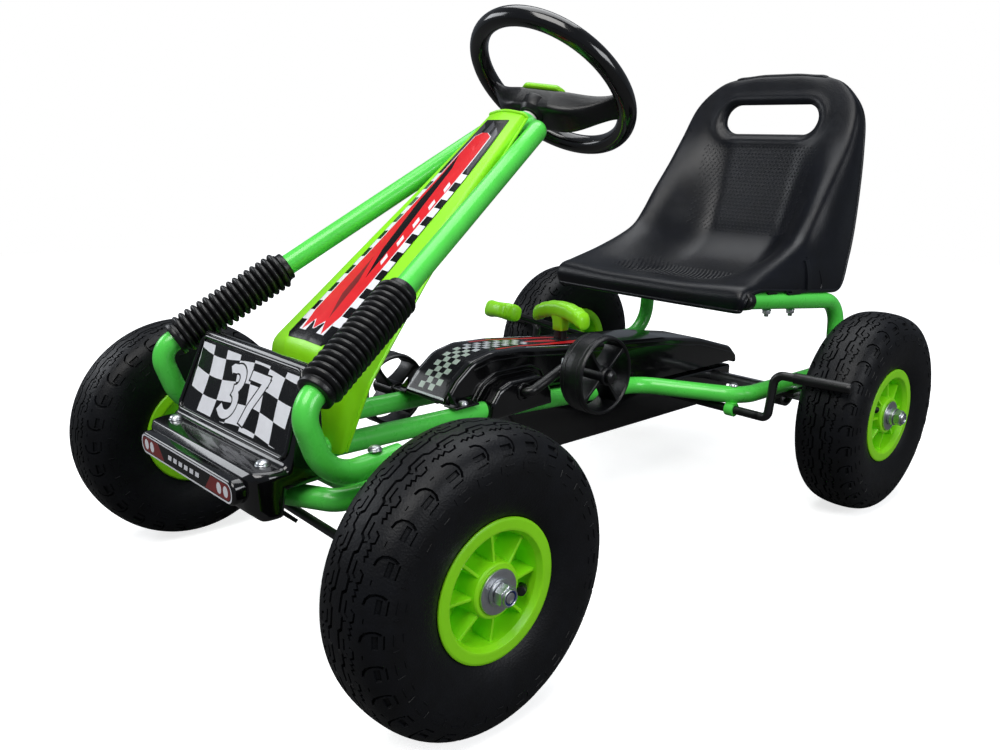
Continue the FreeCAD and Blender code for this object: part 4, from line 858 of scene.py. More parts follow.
# ------------------------------------------------------------------ pedals
def pedal(name, body, node_, sx):
    ring_ = arc_round([(-16, 41.2), (-16, 43.2), (-13.5, 44.6), (0, 45.2), (13.5, 44.6), (16, 43.2), (16, 41.2), (14, 40.0), (0, 40.6), (-14, 40.0)], [1.2, 1.2, 2, 6, 2, 1.2, 1.2, 1.5, 6, 1.5], 4, closed=True)
    parts_ = [revolve(ring_, 96)]
    # two fine beads round the drum
    for xb in (-9, 9):
        parts_.append(revolve(arc_round([(xb - 1.0, 44.4), (xb - 0.7, 45.35), (xb + 0.7, 45.35), (xb + 1.0, 44.4)], [0, 0.4, 0.4, 0], 2), 96, closed=True))
    hub = arc_round([(-19, 6.4), (-19, 10.2), (-16.5, 10.9), (16.5, 10.9), (19, 10.2), (19, 6.4)], [0.3, 1.2, 1.5, 1.5, 1.2, 0.3], 3, closed=True)
    parts_.append(revolve(hub, 48))
    for k in range(4):
        a = math.radians(90 * k + 38)
        secs = []
        for r_, hw, tw in ((9.5, 14.2, 3.4), (13, 13.0, 2.5), (20, 12.4, 2.0), (30, 12.4, 2.0), (36.5, 13.0, 2.6), (41.2, 14.0, 4.6)):
            pr = arc_round([(-hw, -tw), (hw, -tw), (hw, tw), (-hw, tw)], 1.1, 3, closed=True)
            secs.append([(x, r_, y) for x, y in pr])
        parts_.append(moved(loft(secs, True), Matrix.Rotation(a, 4, "X")))
    v, f = join(*parts_)
    place = Matrix.Translation(tm((sx * 115, CY + sx * ay, CZ + sx * az_)))
    done(new_object(name, v, f, ["satin"], angle=35, place=place), body, "satin", node_)


pedal("pedal_drum_left", "pedal_left", "pedal_left", 1)
pedal("pedal_drum_right", "pedal_right", "pedal_right", -1)

# ------------------------------------------------------------------ bellows
sa, sb_ = Vector((38, -50, 479)), Vector((136.5, -420, 257))
run = (sb_ - sa).normalized()
L = 139.5
prof = [(-0.4, 11.25), (0, 14.2), (0.6, 15.0), (5.4, 15.0), (6.0, 15.4), (6.6, 16.4)]
pleats, x0, x1 = 17, 7.4, L - 8.6
pitch = (x1 - x0) / pleats
for i in range(pleats):
    for k in range(10):
        t = k / 10.0
        prof.append((x0 + (i + t) * pitch, 15.2 + 5.0 * math.sin(math.pi * t) ** 0.62))
prof += [(x1, 15.2), (x1 + 0.8, 16.4), (L - 5.4, 16.6), (L - 4.8, 17.4), (L - 0.8, 17.4), (L, 16.6), (L + 0.2, 14.0), (L, 11.25)]
bv, bf = revolve(prof, 56)
for sx, side in ((1, "left"), (-1, "right")):
    d = Vector((sx * run.x, run.y, run.z))
    st = Vector((sx * (sa.x + run.x * 283.5), sa.y + run.y * 283.5, sa.z + run.z * 283.5))
    v, f = moved((bv, bf), align(d, st))
    done(new_object("bellows_sleeve_" + side, v, f, ["rubber"], angle=50), "root", "rubber", "bellows_" + side)

# ------------------------------------------------------------------ steering wheel
rk = math.radians(46.2)
n = Vector((0.0, math.cos(rk), math.sin(rk)))
a1 = Vector((0.0, -math.sin(rk), math.cos(rk)))
WC = Vector((0.0, 10.5, 531.1))


def on_axis(t, u=0.0, x=0.0):
    p = WC + n * t + a1 * u
    return Vector((x, p.y, p.z))


yw = n.cross(Vector((1, 0, 0)))
wheel_frame = Matrix(((1, yw.x, n.x, 0), (0, yw.y, n.y, (WC.y - SHIFT) * MM), (0, yw.z, n.z, WC.z * MM), (0, 0, 0, 1))) @ Matrix.Rotation(math.radians(8.5), 4, "Z")
seg_a, seg_b = 128, 32
v, f = [], []
for i in range(seg_a):
    a = 2 * math.pi * i / seg_a
    for k in range(seg_b):
        b = 2 * math.pi * k / seg_b
        # slightly flattened grip with a shallow finger line on the inside
        rr = 11.1 * (1 - 0.035 * math.cos(2 * b)) - 0.5 * math.exp(-((b - math.pi) / 0.16) ** 2)
        v.append(((97.9 + rr * math.cos(b)) * math.cos(a), (97.9 + rr * math.cos(b)) * math.sin(a), rr * math.sin(b)))
for i in range(seg_a):
    for k in range(seg_b):
        j, l = (i + 1) % seg_a, (k + 1) % seg_b
        f.append((i * seg_b + k, j * seg_b + k, j * seg_b + l, i * seg_b + l))
done(new_object("steering_grip", v, f, ["gloss"], angle=60, place=wheel_frame), "steering", "satin", "steering_wheel")


def key_table(keys, x):
    """Smooth interpolation in a table of (x, values...)."""
    if x <= keys[0][0]:
        return keys[0][1:]
    for a, b in zip(keys, keys[1:]):
        if x <= b[0]:
            t = (x - a[0]) / (b[0] - a[0])
            t = t * t * (3 - 2 * t)
            return [p + (q - p) * t for p, q in zip(a[1:], b[1:])]
    return keys[-1][1:]


def super_ring(x, cy_, cz_, hy, hz, power=3.0, count=40):
    out = []
    for k in range(count):
        a = 2 * math.pi * k / count
        c, s = math.cos(a), math.sin(a)
        out.append((x, cy_ + hy * math.copysign(abs(c) ** (2 / power), c), cz_ + hz * math.copysign(abs(s) ** (2 / power), s)))
    return out


# dished hub: a broad bar that widens into a block under the rim plane
def step_(a):
    a = max(0.0, min(1.0, a))
    return a * a * (3 - 2 * a)


secs = []
for i in range(-60, 61):
    x = i / 60.0 * 96.0
    q = max(0.0, (abs(x) - 24.0) / 72.0)
    hy = 20.5 - 6.0 * step_(q * 1.5) + 3.0 * step_((q - 0.72) / 0.28)
    yc = 8.0 + 13.5 * q
    hi_ = -16.5 + 21.5 * q ** 1.15
    lo_ = -46.0 + 39.0 * step_(q * 0.5 + 0.5 * q * q) 
    secs.append(super_ring(x, yc, (lo_ + hi_) / 2, hy, (hi_ - lo_) / 2, 6.0 - 2.6 * step_(q * 1.3), 48))
hubpart = loft(secs, True)
boss = revolve(arc_round([(-49.5, 7.2), (-49.5, 13.0), (-44, 16.5), (-30, 17.5), (-30, 7.2)], [0, 1.2, 3, 2, 0], 3, closed=True), 56)
boss = moved(boss, Matrix(((0, 1, 0, 0), (0, 0, 1, 0), (1, 0, 0, 0), (0, 0, 0, 1))))
v, f = join(hubpart, boss)
done(new_object("steering_hub", v, f, ["satin"], angle=50, place=wheel_frame), "steering", "satin")
# lime cap: a low cushion that stands a little over the edge of the block
cap_o = [(-31, -7), (-23, -14), (23, -14), (31, -7), (28, 17), (18, 26.5), (-18, 26.5), (-28, 17)]
cap_r = arc_round(cap_o, 5.0, 5, closed=True)
secs = []
for z_, k in ((-18.2, 0.94), (-17.6, 0.98), (-15.6, 1.0), (-13.6, 0.985), (-12.0, 0.94), (-11.0, 0.86), (-10.4, 0.72), (-10.1, 0.5)):
    secs.append([(x * k, 8.5 + (y - 8.5) * k, z_) for x, y in cap_r])
v, f = loft(secs, True)
done(new_object("steering_cap", v, f, ["lime"], angle=40, place=wheel_frame), "steering", "lime", "steering_wheel_cap")


# ------------------------------------------------------------------ lever handles
def t_handle(name, body, node_, width, place, droop=8.0, thick=1.0, neck=22.0):
    """Moulded T grip: an arched bar with blunt drooping ends and a squared neck."""
    h = width / 2.0
    keys = [(0.0, 10.4, 10.4, 2.0), (0.30, 10.8, 10.2, 1.0), (0.62, 11.6, 10.0, -3.0), (0.85, 11.4, 10.0, -8.4), (0.95, 9.8, 9.0, -11.4), (1.0, 5.0, 5.0, -12.6)]
    secs = []
    for i in range(-36, 37):
        u = i / 36.0
        hy, hz, dz = key_table(keys, abs(u))
        x = h * math.copysign(abs(u) ** 0.92, u)
        secs.append(super_ring(x, 0, 2.5 + dz * droop / 10.0, hy * thick, hz * thick, 2.7, 36))
    bar = loft(secs, True)
    secs = []
    for z_, hx, hy in ((-neck, 7.6, 6.8), (-neck + 0.8, 8.4, 7.6), (-neck + 8, 8.6, 7.8), (-8.5, 9.2, 8.2), (-4.0, 11.5, 8.8), (1.0, 16.0, 9.0), (3.0, 17.0, 8.0)):
        secs.append([(p[1], p[2], z_) for p in super_ring(0, 0, 0, hx, hy, 5.0, 36)])
    v, f = join(bar, loft(secs, True))
    o = new_object(name, v, f, ["lime"], angle=45, place=place)
    return done(o, body, "lime", node_)


t_handle("gear_grip", "gear_lever", "gear_lever_handle", 84, Matrix.Translation(tm((0, 38, 259))))
# black gaiter at the foot of the gear lever
secs = []
for z_, hx, hy in ((-2.0, 6.6, 6.0), (-1.4, 7.6, 7.0), (9.0, 7.2, 6.6), (16.0, 6.6, 6.2), (20.0, 6.2, 6.0)):
    secs.append([(p[1], 38 + p[2], 222 + z_) for p in super_ring(0, 0, 0, hx, hy, 4.0, 32)])
v, f = loft(secs, True)
done(new_object("gear_gaiter", v, f, ["rubber"], angle=40), "gear_lever", "rubber")
bdir = Vector((-24, -149, 54)).normalized()
bx = Vector((1, 0, 0))
bz = bdir
by = bz.cross(bx).normalized()
bx = by.cross(bz)
hb = Vector((-122, 56, 240)) + bdir * 6
place = Matrix(((bx.x, by.x, bz.x, hb.x * MM), (bx.y, by.y, bz.y, (hb.y - SHIFT) * MM), (bx.z, by.z, bz.z, hb.z * MM), (0, 0, 0, 1)))
t_handle("brake_grip", "brake", "brake_handle", 62, place, droop=6.0, thick=1.0, neck=20.0)


# ------------------------------------------------------------------ profile solids
def offset_poly(pts, d):
    """Closed counter-clockwise polygon moved inwards by d, with mitred corners."""
    n_ = len(pts)
    area = sum(pts[i][0] * pts[(i + 1) % n_][1] - pts[(i + 1) % n_][0] * pts[i][1] for i in range(n_))
    sgn = 1.0 if area > 0 else -1.0
    out = []
    for i in range(n_):
        p, a, b = Vector(pts[i]), Vector(pts[i - 1]), Vector(pts[(i + 1) % n_])
        e1, e2 = (p - a).normalized(), (b - p).normalized()
        n1, n2 = Vector((-e1.y, e1.x)) * sgn, Vector((-e2.y, e2.x)) * sgn
        m = n1 + n2
        if m.length < 1e-4:
            m = n1
        m.normalize()
        k = max(0.45, m.dot(n1))
        out.append(tuple(p + m * (d / k)))
    return out


def fixed_round(points, radii, steps=6):
    """Closed polygon with rounded corners; every corner gives the same number of points."""
    n_ = len(points)
    out = []
    for i in range(n_):
        p, a, b = Vector(points[i]), Vector(points[i - 1]), Vector(points[(i + 1) % n_])
        r = radii[i] if not isinstance(radii, (int, float)) else radii
        da, db = (a - p), (b - p)
        la, lb = da.length, db.length
        da /= la
        db /= lb
        c = max(-0.9999, min(0.9999, da.dot(db)))
        half = math.acos(c) / 2
        cutb = min(max(r, 0.05) / math.tan(half), la * 0.47, lb * 0.47)
        p1, p2 = p + da * cutb, p + db * cutb
        for k in range(steps + 1):
            t = k / steps
            q = p1 * (1 - t) ** 2 + p * 2 * t * (1 - t) + p2 * t * t
            # a parabola through the corner, close to the arc
            out.append(tuple(q))
    return out


def pillow(profile, radii, x0, x1, edge, steps=6, seg=7, ends=(True, True), min_r=0.6):
    """Profile in (Y, Z) run along X with rounded end edges of radius edge."""
    rings = []

    def ring(x, d):
        pr = offset_poly(profile, d) if d > 0 else list(profile)
        rr = [max(min_r, (r_ - d)) for r_ in radii]
        rings.append([(x, y, z) for y, z in fixed_round(pr, rr, steps)])
    if ends[0]:
        for k in range(seg):
            t = math.pi / 2 * k / seg
            ring(x0 + edge * (1 - math.sin(t)), edge * (1 - math.cos(t))) if False else ring(x0 + edge * (1 - math.cos(math.pi / 2 * k / seg)), edge * (1 - math.sin(math.pi / 2 * k / seg)))
    ring(x0 + (edge if ends[0] else 0), 0)
    ring(x1 - (edge if ends[1] else 0), 0)
    if ends[1]:
        for k in range(seg - 1, -1, -1):
            ring(x1 - edge * (1 - math.cos(math.pi / 2 * k / seg)), edge * (1 - math.sin(math.pi / 2 * k / seg)))
    return loft(rings, True)


def bead(points, radius=0.8, seg=10, closed=False):
    pts = [Vector(p) for p in points]
    if closed:
        pts = pts + [pts[0], pts[1]]
    return tube(pts, radius, seg, not closed)


def capsule_outline(cx_, cy_, hw, hh, r, steps=8):
    return arc_round([(cx_ - hw, cy_ - hh), (cx_ + hw, cy_ - hh), (cx_ + hw, cy_ + hh), (cx_ - hw, cy_ + hh)], r, steps, closed=True)


def stroke(path, width, cap=0):
    """Outline of a thick line along 2-D points."""
    L_, R_ = [], []
    for i, p in enumerate(path):
        a, b = Vector(path[max(i - 1, 0)]), Vector(path[min(i + 1, len(path) - 1)])
        d = (b - a).normalized()
        nn = Vector((-d.y, d.x)) * width / 2
        e = Vector((0, 0))
        if i == 0:
            e = -d * cap
        if i == len(path) - 1:
            e = d * cap
        L_.append(tuple(Vector(p) + nn + e))
        R_.append(tuple(Vector(p) - nn + e))
    return L_ + R_[::-1]


# ------------------------------------------------------------------ nose panel
nose = [(-386.5, 282), (-419.5, 198.5), (-430, 198.5), (-436, 198.5), (-441, 198.5), (-447, 198.5), (-452, 193), (-451, 163), (-441, 154), (-436, 154), (-430, 154.2), (-423, 154.5), (-418.5, 178), (-381, 179), (-373.5, 278)]
v, f = pillow(nose, [5, 9, 0.6, 0.6, 0.6, 3, 4, 8, 8, 0.6, 0.6, 4, 4, 4, 3], -110, 110, 7.0, 6, 7)


def nose_taper(p):
    """The panel narrows upwards; the shelf's front corners are swept back in plan."""
    x, y, z = p
    k = 1.0 - 0.1045 * ease_(max(0.0, z - 199) / 83.0)
    x = x * k
    if y < -428:
        d_ = min(24.0, -428 - y)
        cut_ = 24.0 - math.sqrt(max(0.0, 24.0 ** 2 - d_ ** 2))
        x = x * (110.0 - 0.82 * cut_) / 110.0
    return (x, y, z)


def ease_(a):
    a = max(0.0, min(1.0, a))
    return a


v = [nose_taper(p) for p in v]
o = new_object("nose_shell", v, f, ["gloss"], angle=38)
done(o, "root", "gloss", "nose_panel")
# the number field lies inside a raised rounded rim on the inclined face
pf0, pf1 = Vector((0, -418.7, 200.6)), Vector((0, -387.2, 280.4))
pu = (pf1 - pf0).normalized()
pn_ = Vector((0, -pu.z, pu.y))
if pn_.y > 0:
    pn_ = -pn_


def on_panel(x, y, off=0.0):
    q = pf0 + pu * y + pn_ * off
    return Vector((x, q.y, q.z))


rim_path = [on_panel(x, y, 0.2) for x, y in arc_round([(-103.5, 3.6), (103.5, 3.6), (93.0, 81.0), (-93.0, 81.0)], 8.0, 8, closed=True)]
v, f = bead(rim_path, 2.3, 14, closed=True)
done(new_object("nose_rim", v, f, ["gloss"], angle=60), "root", "gloss")


def wave(x, y):
    """Waving cloth distortion of the chequered field."""
    return (x + 3.0 * math.sin((y + x * 0.35) / 16.0), y + 4.2 * math.sin(x / 27.0 + 0.7) + 0.00035 * x * x)


def clip_box(pts, xa_, xb_, ya_, yb_):
    """Convex clipping of an outline to a box; None when next to nothing is left."""
    for axis, lim, sg in ((0, xa_, 1), (0, xb_, -1), (1, ya_, 1), (1, yb_, -1)):
        out = []
        for a, b in zip(pts, pts[1:] + pts[:1]):
            ina, inb = (a[axis] - lim) * sg >= 0, (b[axis] - lim) * sg >= 0
            if ina:
                out.append(a)
            if ina != inb:
                t = (lim - a[axis]) / (b[axis] - a[axis])
                out.append((a[0] + (b[0] - a[0]) * t, a[1] + (b[1] - a[1]) * t))
        pts = out
        if len(pts) < 3:
            return None
    keep = [pts[0]]
    for p in pts[1:]:
        if math.dist(p, keep[-1]) > 0.2:
            keep.append(p)
    if len(keep) > 3 and math.dist(keep[0], keep[-1]) < 0.2:
        keep.pop()
    ar = 0.5 * abs(sum(a[0] * b[1] - b[0] * a[1] for a, b in zip(keep, keep[1:] + keep[:1])))
    return keep if len(keep) > 2 and ar > 3.0 else None


shapes = [(arc_round([(-99.5, 7.2), (99.5, 7.2), (89.5, 77.6), (-89.5, 77.6)], 7.0, 8, closed=True), "ink_black")]
cw, ch = 27.0, 20.0
x_lo, x_hi, y_lo, y_hi = -90.0, 90.0, 9.0, 75.8
for i in range(-5, 6):
    for j in range(-3, 6):
        if (i + j) % 2:
            continue
        xa, ya = i * cw - 11, 9 + j * ch
        ol = []
        for (ax, ay_, bx_, by_) in ((0, 0, 1, 0), (1, 0, 1, 1), (1, 1, 0, 1), (0, 1, 0, 0)):
            for k in range(7):
                t = k / 7.0
                ol.append(wave(xa + cw * (ax + (bx_ - ax) * t), ya + ch * (ay_ + (by_ - ay_) * t)))
        keep = clip_box(ol, x_lo, x_hi, y_lo, y_hi)
        if keep:
            shapes.append((keep, "ink_white"))


def arc_pts(cx_, cy_, r, a0, a1_, n_=14):
    return [(cx_ + r * math.cos(math.radians(a0 + (a1_ - a0) * k / n_)), cy_ + r * math.sin(math.radians(a0 + (a1_ - a0) * k / n_))) for k in range(n_ + 1)]


def slant(pts, dx, dy, s=1.0, sh=0.20):
    return [((x + sh * y) * s + dx, y * s + dy) for x, y in pts]


three_top = [(3.5, 34.5), (5.5, 36.5)] + arc_pts(14.5, 29.6, 8.2, 118, -82, 14)
three_low = arc_pts(14.5, 11.2, 9.6, 82, -128, 14) + [(5.0, 6.0)]
seven_bar, seven_leg = [(2, 36.4), (27, 36.4)], [(24.6, 38.5), (21, 28), (15, 14), (12.5, 0)]
for w_, colour, cap in ((9.6, "ink_black", 1.3), (7.0, "ink_white", 0.0)):
    for path, dx in ((three_top, -36), (three_low, -36), (seven_bar, 2), (seven_leg, 2)):
        shapes.append((slant(stroke(path, w_, cap), dx, 15, 1.28), colour))
clean = []
for outline, colour in shapes:
    clean.append((outline, colour))
o = decal("nose_field", clean, lambda x, y, off: on_panel(x, y, off), ["ink_black", "ink_white"], spacing=12, offset=0.25)
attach(o, "root")

# ------------------------------------------------------------------ bumper strip
bp_ = [(-474, 186.5), (-474, 202.5), (-468.4, 203), (-468.4, 186)]
bar_o = arc_round([(-94.5, 169.6), (94.5, 169.6), (94.5, 192.4), (-94.5, 192.4)], 9.5, 8, closed=True)
secs = []
for y_, k in ((-450.5, 1.0), (-459.4, 1.0), (-460.9, 0.7), (-461.7, 0.3), (-462.0, 0.0)):
    ins = (1 - k) * 1.8
    secs.append([(x * (1 - ins / 94.5), y_, 181 + (z - 181) * (1 - ins / 11.4)) for x, z in bar_o])
v, f = loft(secs, True)
done(new_object("bumper_bar", v, f, ["gloss"], angle=38), "root", "gloss", "bumper_strip")
sh_ = [(capsule_outline(0, 181, 91.8, 9.6, 8.6), "ink_white"), (capsule_outline(0, 181, 90.2, 8.0, 7.2), "ink_black")]
for sx in (1, -1):
    sh_.append((arc_round([(sx * 42, 173.8), (sx * 89.2, 173.8), (sx * 89.2, 188.2), (sx * 54, 188.2)], [0.5, 6.4, 6.4, 0.5], 6, closed=True), "ink_dark_red"))
    for xo in (68.5, 80.5):
        sh_.append(([(sx * xo + 4.3 * math.cos(k * math.pi / 14), 181 + 5.2 * math.sin(k * math.pi / 14)) for k in range(28)], "ink_white"))
# generic dashes where a maker's wording would be
for k in range(6):
    sh_.append(([(-33 + k * 11.2, 178.6), (-26 + k * 11.2, 178.6), (-24.6 + k * 11.2, 183.4), (-31.6 + k * 11.2, 183.4)], "ink_white"))
o = decal("bumper_label", sh_, lambda x, y, off: Vector((x, -462.0 - off, y)), ["ink_white", "ink_black", "ink_dark_red"], spacing=0, offset=0.25)
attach(o, "root")

# ------------------------------------------------------------------ chain cover
top = [(-183, 189.6), (-181, 196), (-166, 214), (-142, 232), (-112, 238), (-63, 235.5), (10, 226.5), (156, 213), (210, 208), (300, 193), (378, 170), (396, 154), (398, 142)]
low = [(152, 148), (144, 167.6), (60, 173.4), (-60, 183.2), (-110, 186.8)]
rad = [2, 10, 30, 36, 36, 60, 80, 80, 60, 60, 24, 8, 3, 6, 12, 20, 20, 10]
v, f = pillow(top + low, rad, -37, 37, 5.0, 7, 7)
# the cover is open below, where the rear sprocket reaches up into it
open_below = []
for q in f:
    my, mz = sum(v[k][1] for k in q) / len(q), sum(v[k][2] for k in q) / len(q)
    if not (200 < my < 340 and mz < 151.5):
        open_below.append(q)
f = open_below
done(new_object("chain_case", v, f, ["gloss"], angle=38), "root", "gloss", "chain_cover")
lobe = [(-138, 166), (-134, 186), (-122, 201), (-104, 207), (-58, 207), (-46, 201), (-38, 186), (-36, 168), (-60, 168)]
ps = []
for sx in (1, -1):
    xs_ = (34, 60) if sx > 0 else (-60, -34)
    ps.append(pillow(lobe, [3, 14, 16, 14, 14, 12, 12, 3, 3], xs_[0], xs_[1], 5.5, 6, 6, ends=(sx < 0, sx > 0)))
    # stepped flange round the lobe, with two beads
    fl = [(-148, 172), (-146, 186), (-131, 206), (-110, 214.5), (-54, 214.0), (-36, 206), (-28, 188), (-27, 172)]
    fr = arc_round(fl, [0, 14, 20, 16, 16, 14, 12, 0], 7)
    ps.append(bead([(sx * 37.6, y, z) for y, z in fr], 1.5, 12))
    fl2 = [(-141.5, 169), (-139, 186), (-126, 202.5), (-107, 209.6), (-57, 209.4), (-42, 203), (-33.5, 187), (-32.5, 172)]
    ps.append(bead([(sx * 37.9, y, z) for y, z in arc_round(fl2, [0, 14, 18, 14, 14, 12, 12, 0], 7)], 1.1, 12))
    ps.append(pillow([(-184, 188.9), (-184, 191.4), (-150, 191.4), (-150, 188.9)], [0.8] * 4, *((35, 56) if sx > 0 else (-56, -35)), 1.0, 3, 3))
    # web from the ear up to the body
    ps.append(loft([[(sx * 36, -178, 190), (sx * 36, -176, 190), (sx * 36, -176, 205), (sx * 36, -178, 205)], [(sx * 50, -178, 190), (sx * 50, -176, 190), (sx * 50, -176, 191.6), (sx * 50, -178, 191.6)]]))
    ps.append(moved(revolve(arc_round([(0, 8.2), (0, 10.8), (1.8, 10.8), (2.6, 9.8), (2.6, 8.2)], [0, 0.5, 0.8, 0.5, 0], 3, closed=True), 40), align((sx, 0, 0), (sx * 59.4, CY, CZ))))
    ps.append(bead([(sx * 37.2, y, z - 9.5) for y, z in arc_round(top[3:11], 40, 6)], 0.9, 10))
v, f = join(*ps)
done(new_object("chain_case_lobes", v, f, ["gloss"], angle=38), "root", "gloss")
# slot for the gear lever
ps = [pillow([(26, 223.2), (26, 226.8), (50, 224.6), (50, 221.0)], [1.2] * 4, -9, 9, 1.2, 3, 3)]
v, f = join(*ps)
done(new_object("gear_gate", v, f, ["rubber"], angle=38), "root", "rubber")

# graphics that follow the curved front and the long top
tp = [Vector(p) for p in fixed_round(top + low, rad, 7)[:13 * 8]]
acc = [0.0]
for a, b in zip(tp, tp[1:]):
    acc.append(acc[-1] + (b - a).length)


def on_cover(x, s_, off=0.0):
    s_ = max(0.0, min(acc[-1] - 0.01, s_))
    k = 0
    while k < len(acc) - 2 and acc[k + 1] < s_:
        k += 1
    t = (s_ - acc[k]) / (acc[k + 1] - acc[k])
    p = tp[k].lerp(tp[k + 1], t)
    d0 = (tp[min(k + 1, len(tp) - 1)] - tp[max(k - 1, 0)]).normalized()
    d1 = (tp[min(k + 2, len(tp) - 1)] - tp[k]).normalized()
    d = d0.lerp(d1, t).normalized()
    return Vector((x, p.x - d.y * off, p.y + d.x * off))


s0_ = 9.0
shapes = [([(-29.5, s0_), (29.5, s0_), (26.0, 150), (24.0, 270), (-24.0, 270), (-26.0, 150)], "ink_black")]
border = [([(-32.8, s0_ - 2.6), (32.8, s0_ - 2.6), (32.6, 150), (32.6, 520), (31.0, 520), (31.0, 150), (30.6, s0_ - 0.4), (-30.6, s0_ - 0.4), (-31.0, 150), (-31.0, 520), (-32.6, 520), (-32.6, 150)], "ink_white")]
cell = 8.4
for r_ in range(22):
    ya, yb = s0_ + 4 + r_ * 7.8, s0_ + 4 + (r_ + 1) * 7.8
    if ya > 172:
        break
    sw = 1.0 - 0.0006 * r_ * 10
    for c_ in range(4):
        if (r_ + c_) % 2 == 0:
            xa = -2 * cell + c_ * cell
            shapes.append(([(xa * sw, ya), ((xa + cell) * sw, ya), ((xa + cell) * sw, yb), (xa * sw, yb)], "ink_white" if r_ > 8 else "ink_mint"))
for sx in (1, -1):
    shapes.append(([(sx * 21.5, 108), (sx * 25.5, 108), (sx * 24.0, 240), (sx * 8.0, 268), (sx * 18.5, 175)], "ink_red"))
shapes.append(([(-3, 178), (3, 178), (6.0, 225), (0, 262), (-6.0, 225)], "ink_red"))
o = decal("cover_graphic", shapes + border, on_cover, ["ink_black", "ink_mint", "ink_white", "ink_red"], spacing=3.6, offset=0.25)
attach(o, "root")
# white blocks on the flank near the crank
for sx, side in ((1, "left"), (-1, "right")):
    sh_ = []
    for yb_ in (2, 20, 38):
        zt_ = 213.5 - (yb_ * 0.092)
        sh_.append(([(yb_ - 2.0, zt_ - 11), (yb_ + 8.5, zt_ - 11.8), (yb_ + 10, zt_ - 0.9), (yb_ - 0.5, zt_)], "ink_white"))
    o = decal("flank_blocks_" + side, sh_, lambda x, y, off, sx=sx: Vector((sx * (37.0 + off), x, y)), ["ink_white"], spacing=0, offset=0.25)
    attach(o, "root")

# lower tray
tray = [(-82, 158), (-70, 142), (8, 96), (128, 93), (330, 89), (380, 97), (391, 112), (391, 139), (152, 146), (60, 158)]
v, f = pillow(tray, [3, 8, 20, 40, 20, 12, 10, 4, 4, 6], -31, 31, 4.0, 6, 5)
done(new_object("chain_tray_shell", v, f, ["gloss"], angle=38), "root", "gloss", "chain_tray")

# ------------------------------------------------------------------ column cover
def cover_outline(up, w, drop, skirt):
    pts = [(w, up - drop - skirt), (w, up - drop - 4), (0.93 * w, up - drop), (0.42 * w, up - 1.5), (0, up)]
    return pts + [(-x, u) for x, u in reversed(pts[:-1])]


def resample(pts, count):
    q = [Vector(p) for p in pts]
    ac = [0.0]
    for a, b in zip(q, q[1:]):
        ac.append(ac[-1] + (b - a).length)
    out, m = [], 0
    for i in range(count):
        want = ac[-1] * i / (count - 1.0)
        while m < len(ac) - 2 and ac[m + 1] < want:
            m += 1
        out.append(q[m].lerp(q[m + 1], max(0.0, min(1.0, (want - ac[m]) / max(1e-9, ac[m + 1] - ac[m])))))
    return out


NC = 61
cov = [(-72, 33, 28, 5, 6), (-180, 44, 40, 6, 12), (-300, 58, 56, 8, 18), (-425, 74, 74, 12, 30)]
keyrows = []
for t, up, w, drop, skirt in cov:
    half = arc_round(cover_outline(up, w, drop, skirt), [0, 3.5, 5, 30, 60, 30, 5, 3.5, 0], 8)
    keyrows.append([on_axis(t, u, x) for x, u in resample(half, NC)])
ux_, uz_ = 25 / 26.25, 8 / 26.25
fp = [(66, 12.0), (66, 5.0), (54, 2.0), (24.4, 0.3), (0, 0)]
fp = fp + [(-x, q) for x, q in reversed(fp[:-1])]
fp = resample(arc_round(fp, [0, 3.5, 5, 30, 60, 30, 5, 3.5, 0], 8), NC)
keyrows.append([Vector((p.x, -343 + p.y * ux_, 176 + p.y * uz_)) for p in fp])
# distances along the ridge, so that the graphics keep their size
kd = [0.0]
for a, b in zip(keyrows, keyrows[1:]):
    kd.append(kd[-1] + (b[NC // 2] - a[NC // 2]).length)


def cover_row(d):
    """Outline at a distance along the ridge from the top, with its bends softened."""
    acc_ = [Vector((0, 0, 0)) for _ in range(NC)]
    m_ = 0
    soft = 9.0
    for k in range(-3, 4):
        dd = d + soft * k / 3.0
        if dd < 0 or dd > kd[-1]:
            dd = min(max(dd, 0.0), kd[-1])
            if k != 0:
                dd = d + (0 if True else 0)
        i = 0
        while i < len(kd) - 2 and kd[i + 1] < dd:
            i += 1
        t = (dd - kd[i]) / (kd[i + 1] - kd[i])
        for j in range(NC):
            acc_[j] += keyrows[i][j].lerp(keyrows[i + 1][j], t)
        m_ += 1
    return [p / m_ for p in acc_]


NR = 72
cover_rows = [cover_row(kd[-1] * i / (NR - 1.0)) for i in range(NR)]
verts = [p for r_ in cover_rows for p in r_]
faces = []
for i in range(NR - 1):
    for j in range(NC - 1):
        a = i * NC + j
        faces.append((a, a + 1, a + NC + 1, a + NC))
o = new_object("column_shell", verts, faces, ["lime"], angle=40, recalc=False)
me = o.data
mid = me.polygons[(NR // 2) * (NC - 1) + NC // 2]
if mid.normal.dot(a1) < 0:
    me.flip_normals()
sol = o.modifiers.new("thickness", "SOLIDIFY")
sol.thickness, sol.offset, sol.use_rim = 2.6 * MM, -1.0, True
bv_ = o.modifiers.new("edge", "BEVEL")
bv_.width, bv_.segments, bv_.limit_method, bv_.angle_limit = 0.8 * MM, 3, "ANGLE", math.radians(50)
done(o, "root", "lime", "column_cover")
# rolled lip along the free edges
edge_path = [cover_rows[i][0] for i in range(NR)]
ps = [bead([p + Vector((0.0, 0, 0)) for p in edge_path], 1.7, 10), bead([r_[-1] for r_ in cover_rows], 1.7, 10), bead(cover_rows[0], 1.9, 10)]
v, f = join(*ps)
done(new_object("column_shell_lip", v, f, ["lime"], angle=60), "root", "lime")


